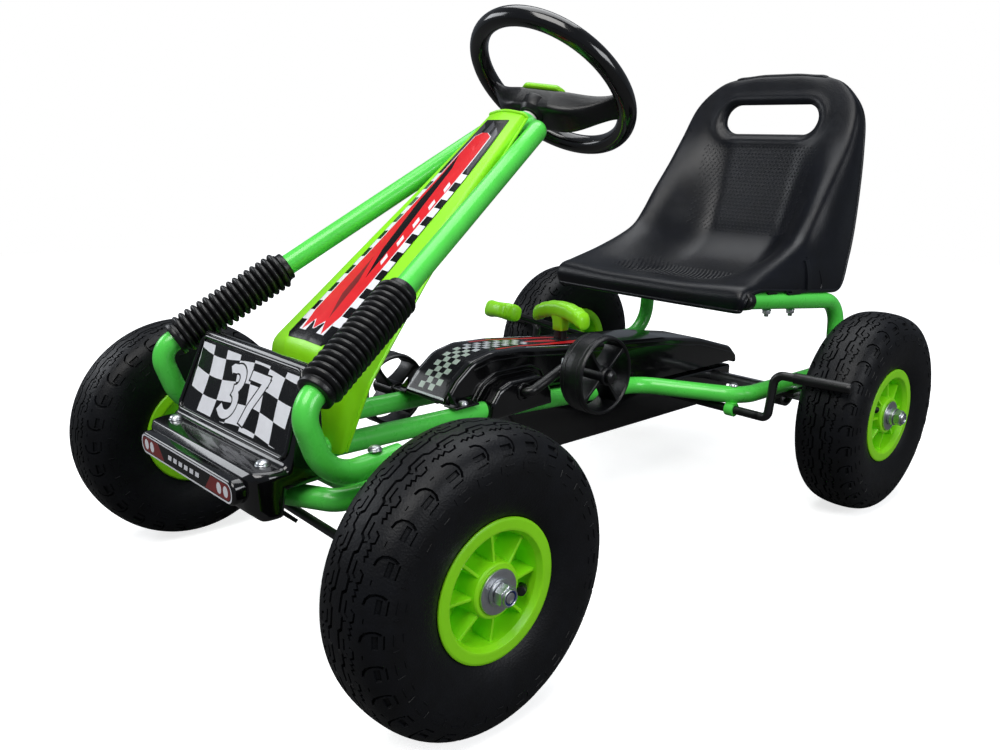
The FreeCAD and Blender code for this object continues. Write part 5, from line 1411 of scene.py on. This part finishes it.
def on_shell(x, d, off=0.0):
    """Point on the cover: x sideways from the ridge along the surface, d down the ridge from the top."""
    d = max(0.0, min(kd[-1] - 0.01, d))
    fr = d / kd[-1] * (NR - 1.0)
    i = min(NR - 2, int(fr))
    t = fr - i
    row = [cover_rows[i][j].lerp(cover_rows[i + 1][j], t) for j in range(NC)]
    c = NC // 2
    step = 1 if x <= 0 else -1          # outlines run from +X to -X
    j, run_ = c, 0.0
    ax_ = abs(x)
    while 0 < j < NC - 1:
        sl = (row[j + step] - row[j]).length
        if run_ + sl >= ax_:
            break
        run_ += sl
        j += step
    j2 = min(NC - 1, max(0, j + step))
    sl = max(1e-6, (row[j2] - row[j]).length)
    q = min(1.0, (ax_ - run_) / sl)
    p = row[j].lerp(row[j2], q)
    tx = (row[j2] - row[j]).normalized() * (-step)
    dn_ = (cover_rows[i + 1][j] - cover_rows[i][j]).normalized()
    nn = tx.cross(dn_)
    if nn.dot(a1) < 0 and nn.y > 0:
        nn = -nn
    if nn.dot(Vector((0, -0.9, 0.45))) < 0:
        nn = -nn
    return p + nn.normalized() * off


def lin(tab, x):
    if x <= tab[0][0]:
        return tab[0][1]
    for a, b in zip(tab, tab[1:]):
        if x <= b[0]:
            return a[1] + (b[1] - a[1]) * (x - a[0]) / (b[0] - a[0])
    return tab[-1][1]


half_w = [(10, 17), (60, 22), (120, 26), (220, 30), (330, 35), (400, 37), (430, 37)]
d_top, d_low = 16.0, kd[3] - 6.0
edge_l = [(-lin(half_w, d), d) for d in range(int(d_top), int(d_low) + 1, 8)]
edge_r = [(-x, d) for x, d in edge_l]
field = edge_r + [(lin(half_w, d_low) - 6, d_low), (-lin(half_w, d_low) + 6, d_low)] + edge_l[::-1]
shapes = [(field, "ink_black")]
# charcoal rays over the upper half
for xa, xb, da, db in ((-0.92, -0.40, 22, 96), (-0.10, 0.34, 20, 70), (-0.95, -0.55, 118, 190), (0.52, 0.93, 30, 104), (-0.40, 0.05, 96, 150)):
    shapes.append(([(lin(half_w, da) * xa, da), (lin(half_w, da) * xb, da + 9), (lin(half_w, db) * xb, db), (lin(half_w, db) * xa, db - 14)], "ink_grey"))
# chequers along both edges
sq = 13.0
for sx in (1, -1):
    for i in range(26):
        d0 = 104 + i * sq
        if d0 + sq > d_low - 3:
            break
        for c_ in range(2 if d0 < 210 else 3):
            if (i + c_) % 2:
                continue
            pts = []
            for (cc, dd) in ((c_, d0), (c_ + 1, d0), (c_ + 1, d0 + sq), (c_, d0 + sq)):
                wv = 2.0 * math.sin(dd / 34.0)
                pts.append((sx * (lin(half_w, dd) - 0.7 - cc * sq * 0.92 + (wv if cc else 0)), dd))
            shapes.append((pts, "ink_white"))
# red blade from the top end down the middle, with a notched tail
blade = [(4, 40), (12, 45), (14, 72), (16.5, 130), (19, 200), (22, 270), (23, 312), (17, 338), (8, 322), (0, 334)]
wide = [(x + 1.3, d) for x, d in blade]
shapes.append((wide + [(-x, d) for x, d in wide[::-1]], "ink_white"))
shapes.append((blade + [(-x, d) for x, d in blade[::-1][1:]], "ink_red"))
# dark slashes and slim pale dashes inside the blade
shapes.append(([(-13, 74), (-4, 98), (7, 206), (10, 262), (-2, 222), (-12, 150)], "ink_black"))
shapes.append(([(-6, 232), (5, 268), (9, 318), (-3, 286)], "ink_dark_red"))
for k in range(5):
    d0 = 118 + k * 27.0
    shapes.append(([(9.5, d0), (14.6, d0 + 4), (15.6, d0 + 16), (10.5, d0 + 12)], "ink_white"))
o = decal("column_graphic", shapes, on_shell, ["ink_black", "ink_grey", "ink_red", "ink_dark_red", "ink_white"], spacing=5.0, offset=0.6)
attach(o, "root")


# ------------------------------------------------------------------ seat
seat_rows = [((196, 262), (148, 198, 262), (154, 204, 262)), ((193, 276), (153, 195, 277), (159, 203, 271)),
             ((200, 287), (151, 202, 290), (160, 209, 280)), ((228, 289), (148, 228, 297), (162, 230, 286)),
             ((282, 284), (146, 280, 312), (163, 284, 281)), ((340, 283), (146, 326, 328), (165, 345, 274)),
             ((396, 297), (146, 358, 344), (166, 398, 269)), ((437, 330), (146, 378, 366), (166, 440, 270)),
             ((459, 375), (146, 402, 395), (163, 462, 308)), ((475, 425), (145, 434, 430), (158, 482, 360)),
             ((489, 477), (141, 472, 476), (150, 500, 455)), ((500, 525), (131, 496, 519), (139, 511, 508)),
             ((508, 549), (115, 506, 540), (121, 516, 533)), ((514, 561), (93, 513.5, 555.5), (99, 519, 551)),
             ((518, 565), (69, 518, 562), (75, 520.5, 559))]


def ease(a):
    a = max(0.0, min(1.0, a))
    return a * a * (3 - 2 * a)


def blended_rows(count_):
    """The rows at equal steps along the middle of the seat (Catmull-Rom between the stated ones)."""
    flat = [list(c) + list(w) + list(k) for c, w, k in seat_rows]
    fine = []
    for i in range(len(flat) - 1):
        p0, p1, p2, p3 = flat[max(i - 1, 0)], flat[i], flat[i + 1], flat[min(i + 2, len(flat) - 1)]
        l0, l1, l2 = [max(1e-6, sum((a - b) ** 2 for a, b in zip(u_, v_)) ** 0.25) for u_, v_ in ((p0, p1), (p1, p2), (p2, p3))]
        for j in range(20):
            q = j / 20.0
            out = []
            for a, b, c, e in zip(p0, p1, p2, p3):
                m1 = (c - b) if i == 0 else l1 * ((b - a) / l0 - (c - a) / (l0 + l1) + (c - b) / l1)
                m2 = (c - b) if i == len(flat) - 2 else l1 * ((c - b) / l1 - (e - b) / (l1 + l2) + (e - c) / l2)
                out.append((2 * q ** 3 - 3 * q ** 2 + 1) * b + (q ** 3 - 2 * q ** 2 + q) * m1 + (3 * q ** 2 - 2 * q ** 3) * c + (q ** 3 - q ** 2) * m2)
            fine.append(out)
    fine.append(flat[-1])
    acc_ = [0.0]
    for a, b in zip(fine, fine[1:]):
        acc_.append(acc_[-1] + 0.6 * math.hypot(a[0] - b[0], a[1] - b[1]) + 0.4 * math.dist(a[2:5], b[2:5]))
    res, k = [], 0
    for i in range(count_):
        want = acc_[-1] * i / (count_ - 1.0)
        while k < len(acc_) - 2 and acc_[k + 1] < want:
            k += 1
        f_ = (want - acc_[k]) / max(1e-9, acc_[k + 1] - acc_[k])
        r_ = [a + (b - a) * f_ for a, b in zip(fine[k], fine[k + 1])]
        res.append((tuple(r_[0:2]), tuple(r_[2:5]), tuple(r_[5:8])))
    return res


def seat_line(c, w, k, steps=36):
    fine = []
    for i in range(181):
        u = i / 180.0
        if u <= 0.75:
            q = u / 0.75
            s_ = ease((q - 0.35) / 0.65)
            fine.append((w[0] * q, c[0] + (w[1] - c[0]) * s_, c[1] + (w[2] - c[1]) * s_))
        else:
            q = (u - 0.75) / 0.25
            fine.append((w[0] + (k[0] - w[0]) * math.sin(q * math.pi / 2), w[1] + (k[1] - w[1]) * q * (0.4 + 0.6 * q),
                         w[2] + (k[2] - w[2]) * q * (0.3 + 0.7 * q)))
    # the crest between the seat face and the outer skirt always falls on the same column
    out = [Vector(fine[0])]
    for part, count in ((fine[:136], steps - 10), (fine[135:], 10)):
        acc_ = [0.0]
        for a, b in zip(part, part[1:]):
            acc_.append(acc_[-1] + math.dist(a, b))
        m = 0
        for i in range(1, count + 1):
            want = acc_[-1] * i / count
            while m < len(acc_) - 2 and acc_[m + 1] < want:
                m += 1
            f_ = (want - acc_[m]) / max(1e-9, acc_[m + 1] - acc_[m])
            out.append(Vector([p + (q - p) * f_ for p, q in zip(part[m], part[m + 1])]))
    # the crest is rolled over softly
    c0 = steps - 10
    for _ in range(5):
        new = [p.copy() for p in out]
        for j in range(c0 - 4, c0 + 5):
            new[j] = out[j] * 0.5 + (out[j - 1] + out[j + 1]) * 0.25
        out = new
    return out


RN, CN = 110, 36
grid = []
for c, w, k in blended_rows(RN):
    half = seat_line(c, w, k, CN)
    grid.append([Vector((-p.x, p.y, p.z)) for p in reversed(half[1:])] + half)
NC2 = 2 * CN + 1


def seat_normal(i, j):
    a = grid[min(i + 1, RN - 1)][j] - grid[max(i - 1, 0)][j]
    b = grid[i][min(j + 1, NC2 - 1)] - grid[i][max(j - 1, 0)]
    return b.cross(a).normalized()


norms = [[seat_normal(i, j) for j in range(NC2)] for i in range(RN)]


def hole_dist(p):
    """Distance from the edge of the hand hole in the plane across the seat; negative inside."""
    qx = max(abs(p.x) - 57.0, 0.0)
    return math.hypot(qx, p.z - 500.0) - 23.0


# rolled border of the hand hole and a soft hollow behind the back
for i in range(RN):
    for j in range(NC2):
        p = grid[i][j]
        if p.y > 440:
            d = hole_dist(p)
            if d < 22:
                lift = 2.2 * math.exp(-((d - 9.0) / 6.5) ** 2) - 3.4 * math.exp(-((d + 1.0) / 5.0) ** 2)
                grid[i][j] = p - norms[i][j] * (-lift) if norms[i][j].y < 0 else p + norms[i][j] * (-lift)
norms = [[seat_normal(i, j) for j in range(NC2)] for i in range(RN)]
top_sign = 1.0 if norms[30][CN].z > 0 else -1.0
skin = 2.8
verts = [p for r_ in grid for p in r_] + [grid[i][j] - norms[i][j] * (top_sign * skin) for i in range(RN) for j in range(NC2)]
faces = []
off_ = RN * NC2
for i in range(RN - 1):
    for j in range(NC2 - 1):
        a = i * NC2 + j
        faces.append((a, a + 1, a + NC2 + 1, a + NC2))
        faces.append((off_ + a, off_ + a + NC2, off_ + a + NC2 + 1, off_ + a + 1))
loop = [j for j in range(NC2)] + [i * NC2 + NC2 - 1 for i in range(1, RN)] + [(RN - 1) * NC2 + j for j in range(NC2 - 2, -1, -1)] + [i * NC2 for i in range(RN - 2, 0, -1)]
for a, b in zip(loop, loop[1:] + loop[:1]):
    faces.append((a, b, off_ + b, off_ + a))
seat = new_object("seat_bucket", verts, faces, ["seat"], angle=40)
# hand hole cut through the back
slot_o = []
for k in range(25):
    a = -math.pi / 2 + math.pi * k / 24
    slot_o.append((57 + 23 * math.cos(a), 500 + 23 * math.sin(a)))
slot_o = slot_o + [(-x, 1000 - z) for x, z in slot_o]
cv, cf = loft([[(x, 440, z) for x, z in slot_o], [(x, 560, z) for x, z in slot_o]], True)
cutter = new_object("hole_tool", cv, cf, ["seat"])
bo = seat.modifiers.new("hole", "BOOLEAN")
bo.operation, bo.solver, bo.object = "DIFFERENCE", "EXACT", cutter
bpy.context.view_layer.update()
dg = bpy.context.evaluated_depsgraph_get()
cut_mesh = bpy.data.meshes.new_from_object(seat.evaluated_get(dg))
seat.modifiers.remove(bo)
seat.data = cut_mesh
bpy.data.objects.remove(cutter)
smooth(seat.data, 40)
done(seat, "root", "seat", "seat_shell")


def back_surface(x, z):
    """Front of the backrest over (x, z), from the grid."""
    best, bi = 1e9, (60, CN)
    for i in range(RN // 2, RN):
        r_ = grid[i]
        j = min(range(NC2), key=lambda q: abs(r_[q].x - x) + (0 if r_[q].y > 380 else 500))
        d = abs(r_[j].z - z)
        if d < best:
            best, bi = d, (i, j)
    i, j = bi
    p = grid[i][j]
    nb = norms[i][j] * top_sign
    # along the tangent plane to the wanted point
    if abs(nb.y) > 0.2:
        y = p.y - (nb.x * (x - p.x) + nb.z * (z - p.z)) / nb.y
    else:
        y = p.y
    return Vector((x, y, z)), nb


ps = []
lip_f, lip_m, lip_b = [], [], []
for x, z in slot_o:
    p, nb = back_surface(x, z)
    lip_f.append(Vector((x, p.y + 0.5, z)))
ring_in, ring_out = [], []
secs = []
m = len(slot_o)
for k in range(m):
    a, b = Vector(slot_o[k - 1]), Vector(slot_o[(k + 1) % m])
    d = (b - a).normalized()
    on = Vector((d.y, -d.x))
    c = Vector(slot_o[k])
    if (c + on - Vector((0, 500))).length < (c - Vector((0, 500))).length:
        on = -on
    yb = lip_f[k].y
    pr = arc_round([(3.6, -0.3), (1.2, -1.6), (-1.2, 0.6), (-1.4, 9.0), (2.2, 9.6), (3.0, 3.0)], [0.8, 1.5, 1.5, 1.2, 1.0, 0.6], 4, closed=True)
    secs.append([(c.x + on.x * q, yb + h, c.y + on.y * q) for q, h in pr])
secs.append(secs[0])
v, f = loft(secs, False)
done(new_object("seat_hand_hole_lip", v, f, ["seat"], angle=50), "root", "seat")
# rolled edge all round the skirt
edge_pts = []
for i in range(RN):
    edge_pts.append(grid[i][NC2 - 1] - norms[i][NC2 - 1] * (top_sign * skin * 0.5))
left_e = [Vector((p.x, p.y, p.z)) for p in edge_pts]
right_e = [Vector((-p.x, p.y, p.z)) for p in edge_pts]
front_e = [grid[0][j] - norms[0][j] * (top_sign * skin * 0.5) for j in range(NC2)]
topb_e = [grid[RN - 1][j] - norms[RN - 1][j] * (top_sign * skin * 0.5) for j in range(NC2)]
v, f = join(bead(left_e, 3.0, 14), bead(right_e, 3.0, 14), bead(front_e, 3.0, 14), bead(topb_e, 3.0, 14))
done(new_object("seat_rolled_edge", v, f, ["seat"], angle=60), "root", "seat")

# pressed dash pattern on the back and on the pan, as low lens-shaped grains
random.seed(21)
gv, gf = [], []


def grain(i, j, du, dv, ang, ln=2.9, wd=1.05, hgt=0.55):
    p = grid[i][j].lerp(grid[i][j + 1], du).lerp(grid[i + 1][j].lerp(grid[i + 1][j + 1], du), dv)
    nb = norms[i][j] * top_sign
    tx = (grid[i][j + 1] - grid[i][j]).normalized()
    ty = nb.cross(tx).normalized()
    u = tx * math.cos(ang) + ty * math.sin(ang)
    w = nb.cross(u)
    b0 = len(gv)
    for k in range(8):
        t = 2 * math.pi * k / 8
        gv.append(p + u * (ln * math.cos(t)) + w * (wd * math.sin(t)) - nb * 0.25)
    for k in range(8):
        t = 2 * math.pi * k / 8
        gv.append(p + u * (ln * 0.55 * math.cos(t)) + w * (wd * 0.5 * math.sin(t)) + nb * hgt)
    for k in range(8):
        q = (k + 1) % 8
        gf.append((b0 + k, b0 + q, b0 + 8 + q, b0 + 8 + k))
    gf.append(tuple(b0 + 8 + k for k in range(8)))


# arc lengths along the middle column, so that the grains keep an even pitch
mid_acc = [0.0]
for i in range(RN - 1):
    mid_acc.append(mid_acc[-1] + (grid[i + 1][CN] - grid[i][CN]).length)


def place_field(s_a, s_b, half_a, half_b, pitch_u=6.2, pitch_v=5.4):
    row_k = 0
    s_ = s_a
    while s_ < s_b:
        i = max(q for q in range(RN - 1) if mid_acc[q] <= s_)
        dv = (s_ - mid_acc[i]) / (mid_acc[i + 1] - mid_acc[i])
        t = (s_ - s_a) / (s_b - s_a)
        hw = half_a + (half_b - half_a) * t
        x = -hw + (pitch_u / 2 if row_k % 2 else 0)
        while x <= hw:
            j = None
            for q in range(CN // 2, NC2 - 2):
                if grid[i][q].x <= x < grid[i][q + 1].x:
                    j = q
                    break
            if j is not None:
                du = (x - grid[i][j].x) / (grid[i][j + 1].x - grid[i][j].x)
                if hole_dist(grid[i][j]) > 14 or grid[i][j].y < 440:
                    grain(i, j, du, dv, math.radians(62 + random.uniform(-9, 9)))
            x += pitch_u
        s_ += pitch_v
        row_k += 1


def s_at(z=None, y=None):
    if z is not None:
        i = min(range(RN // 2, RN), key=lambda q: abs(grid[q][CN].z - z))
    else:
        i = min(range(8, RN // 2), key=lambda q: abs(grid[q][CN].y - y))
    return mid_acc[i]


place_field(s_at(z=322), s_at(z=462), 86, 96)
place_field(s_at(y=252), s_at(y=352), 92, 84)
o = new_object("seat_grain", gv, gf, ["seat"], angle=60, merge=0, recalc=False)
done(o, "root", "seat")

# moulded pocket in each side of the seat, over the mounting rail, with its web and a short bead
for sx, side in ((1, "left"), (-1, "right")):
    ps = []
    # frame of the pocket, laid on the curved skirt
    def skirt_x(z):
        tab = [(268, 165.2), (274, 165.0), (296, 163.4), (312, 159.4), (321.4, 154.6), (330, 146.0)]
        for p, q in zip(tab, tab[1:]):
            if z <= q[0]:
                return p[1] + (q[1] - p[1]) * max(0.0, z - p[0]) / (q[0] - p[0])
        return tab[-1][1]

    fr = arc_round([(292, 281), (296, 275.5), (384, 271.5), (388, 279), (372, 318), (352, 318)], [2, 4, 6, 3, 6, 2], 6)
    fine_ = []
    for p, q in zip(fr, fr[1:]):
        for k in range(4):
            fine_.append((p[0] + (q[0] - p[0]) * k / 4.0, p[1] + (q[1] - p[1]) * k / 4.0))
    fine_.append(fr[-1])
    ps.append(bead([(sx * (skirt_x(z) + 0.4), y, z) for y, z in fine_], 1.5, 12))
    # upright web with a flat face
    web = []
    for z in (276, 284, 292, 300, 308, 315):
        x_ = skirt_x(z)
        web.append([(sx * (x_ - 3), 344, z), (sx * (x_ + 2.6), 345, z), (sx * (x_ + 2.6), 356, z), (sx * (x_ - 3), 357, z)])
    ps.append(loft(web, True))
    ps.append(bead([(sx * (skirt_x(300) - 1.0), 300, 277.6), (sx * 164.6, 340, 275.4)], 1.6, 10))
    v, f = join(*ps)
    done(new_object("seat_pocket_" + side, v, f, ["seat"], angle=45), "root", "seat")

# ------------------------------------------------------------------ fasteners
def dome_bolt(r, h=None):
    """Domed head with a small skirt, axis along local X from 0."""
    h = h or r * 0.62
    prof_ = [(-0.6, 0), (-0.6, r * 1.04), (0.5, r * 1.04), (0.8, r * 0.98)]
    for k in range(1, 9):
        a = math.pi / 2 * k / 8
        prof_.append((0.8 + (h - 0.8) * math.sin(a), r * 0.98 * math.cos(a) if k < 8 else 0.0))
    return revolve(prof_, 36, closed=False)


heads = []
for sx in (1, -1):
    heads.append(moved(dome_bolt(6.4, 4.4), align((0, 0, 1), (sx * 136, -347, 206.0))))
    heads.append(moved(dome_bolt(5.5, 3.9), align((0, 0, 1), (sx * 47, -166, 191.5))))
    heads.append(moved(dome_bolt(6.5, 4.6), align((0, 0, 1), (sx * 85.5, -429, 198.6))))
    heads.append(moved(dome_bolt(5.5, 3.9), align((0, 0, 1), (sx * 150, 208, 164.0))))
v, f = join(*heads)
done(new_object("dome_heads", v, f, ["zinc"], angle=50), "root", "zinc", "frame_bolts")
heads = []
for sx in (1, -1):
    for yy, xx, zz in ((262, 156.6, 257.2), (318, 159.6, 251.3)):
        heads.append(moved(revolve(arc_round([(-8.2, 0), (-8.2, 2.9), (0.6, 2.9), (0.6, 0)], [0, 0.6, 0, 0], 3), 20, closed=False), align((0, 0, 1), (sx * xx, yy, zz))))
        heads.append(moved(hex_nut(10, 4.4, 2.8, 0.0), align((0, 0, 1), (sx * xx, yy, zz - 4.2), 0.4)))
        heads.append(moved(revolve(arc_round([(0, 2.8), (0, 5.9), (0.9, 5.9), (0.9, 2.8)], [0, 0.2, 0.2, 0], 2, closed=True), 28), align((0, 0, 1), (sx * xx, yy, zz + 0.1))))
v, f = join(*heads)
done(new_object("seat_fixings", v, f, ["zinc"], angle=35), "root", "zinc", "seat_bolts")
# end plugs of the seat tubes
ps = []
for sx in (1, -1):
    d = (Vector((sx * 154, 217, 274.5)) - Vector((sx * 166, 437, 251))).normalized()
    ps.append(moved(revolve(arc_round([(-3.2, 0), (-3.2, 11.9), (7.5, 12.4), (10.5, 10.8), (11.2, 6.0), (11.2, 0)], [0, 0.8, 2.4, 2.5, 3.0, 0], 5), 44, closed=False), align(d, Vector((sx * 154, 217, 274.5)))))
v, f = join(*ps)
done(new_object("seat_tube_caps", v, f, ["satin"], angle=45), "root", "satin", "seat_tube_plugs")

# ------------------------------------------------------------------ the other parts keep their own shape, with softened edges
NODE_MAT = {"black_painted_steel": "paint", "green_powder_coat": "green", "zinc_steel": "zinc", "bearing_steel": "bearing", "chain_steel": "chain",
            "white_nylon": "nylon", "black_satin_plastic": "satin", "black_gloss_plastic": "gloss", "lime_plastic": "lime", "black_rubber": "rubber",
            "tyre_rubber": "tyre", "seat_plastic": "seat"}
node_slot = {}
for e in frame["record"].get("materials", []):
    for nn in e.get("nodes", []):
        node_slot[nn] = e.get("slot")
GUESS = {"column_head_sleeve": "green", "front_axle_beam": "green", "frame_brackets": "green", "steering_column": "paint", "knuckle_left": "paint",
         "knuckle_right": "paint", "tie_rod_left": "paint", "tie_rod_right": "paint", "kingpin_bolts": "zinc", "rear_axle": "zinc", "rear_bearing_housings": "paint",
         "gear_lever": "paint", "nylon_bushes": "nylon", "drive_chain": "chain", "rear_sprocket": "chain", "crank_sprocket": "chain",
         "rear_axle_bearings": "bearing", "wheel_bearings_front_left": "bearing", "wheel_bearings_front_right": "bearing", "wheel_bearings_rear_right": "bearing",
         "seat_mounting_blocks": "satin"}
for name_, o in frame["nodes"].items():
    key = GUESS.get(name_) or NODE_MAT.get(node_slot.get(name_), "paint")
    o.data.materials.clear()
    o.data.materials.append(M[key])
    if name_ in GUESS:
        w_ = o.modifiers.new("weld", "WELD")
        w_.merge_threshold = 0.00001
        if name_ not in ("drive_chain", "rear_sprocket", "crank_sprocket"):
            d_ = o.modifiers.new("planes", "DECIMATE")
            d_.decimate_type, d_.angle_limit = "DISSOLVE", math.radians(1.0)
            b_ = o.modifiers.new("edge", "BEVEL")
            b_.width, b_.segments, b_.limit_method, b_.angle_limit = 0.5 * MM, 2, "ANGLE", math.radians(32)
            b_.use_clamp_overlap = True
        n_m = o.modifiers.new("normals", "WEIGHTED_NORMAL")
        n_m.keep_sharp = True
        smooth(o.data, 32)

# ------------------------------------------------------------------ floor
fl = bpy.data.meshes.new("floor")
fr_ = []
for r_ in (0.0, 3.0):
    pass
N_F = 96
vs = [(0, 0, 0)]
for rr in (0.4, 0.9, 1.6, 3.0):
    for k in range(N_F):
        a = 2 * math.pi * k / N_F
        vs.append((rr * math.cos(a), rr * math.sin(a), 0.0))
fs = [(0, 1 + k, 1 + (k + 1) % N_F) for k in range(N_F)]
for b in range(3):
    for k in range(N_F):
        q = (k + 1) % N_F
        fs.append((1 + b * N_F + k, 1 + (b + 1) * N_F + k, 1 + (b + 1) * N_F + q, 1 + b * N_F + q))
fl.from_pydata(vs, [], fs)
fl.materials.append(M["floor"])
floor = bpy.data.objects.new("floor", fl)
scene.collection.objects.link(floor)
floor.location = (0, 0, -0.0004)
floor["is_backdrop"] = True

lo_, hi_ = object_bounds()
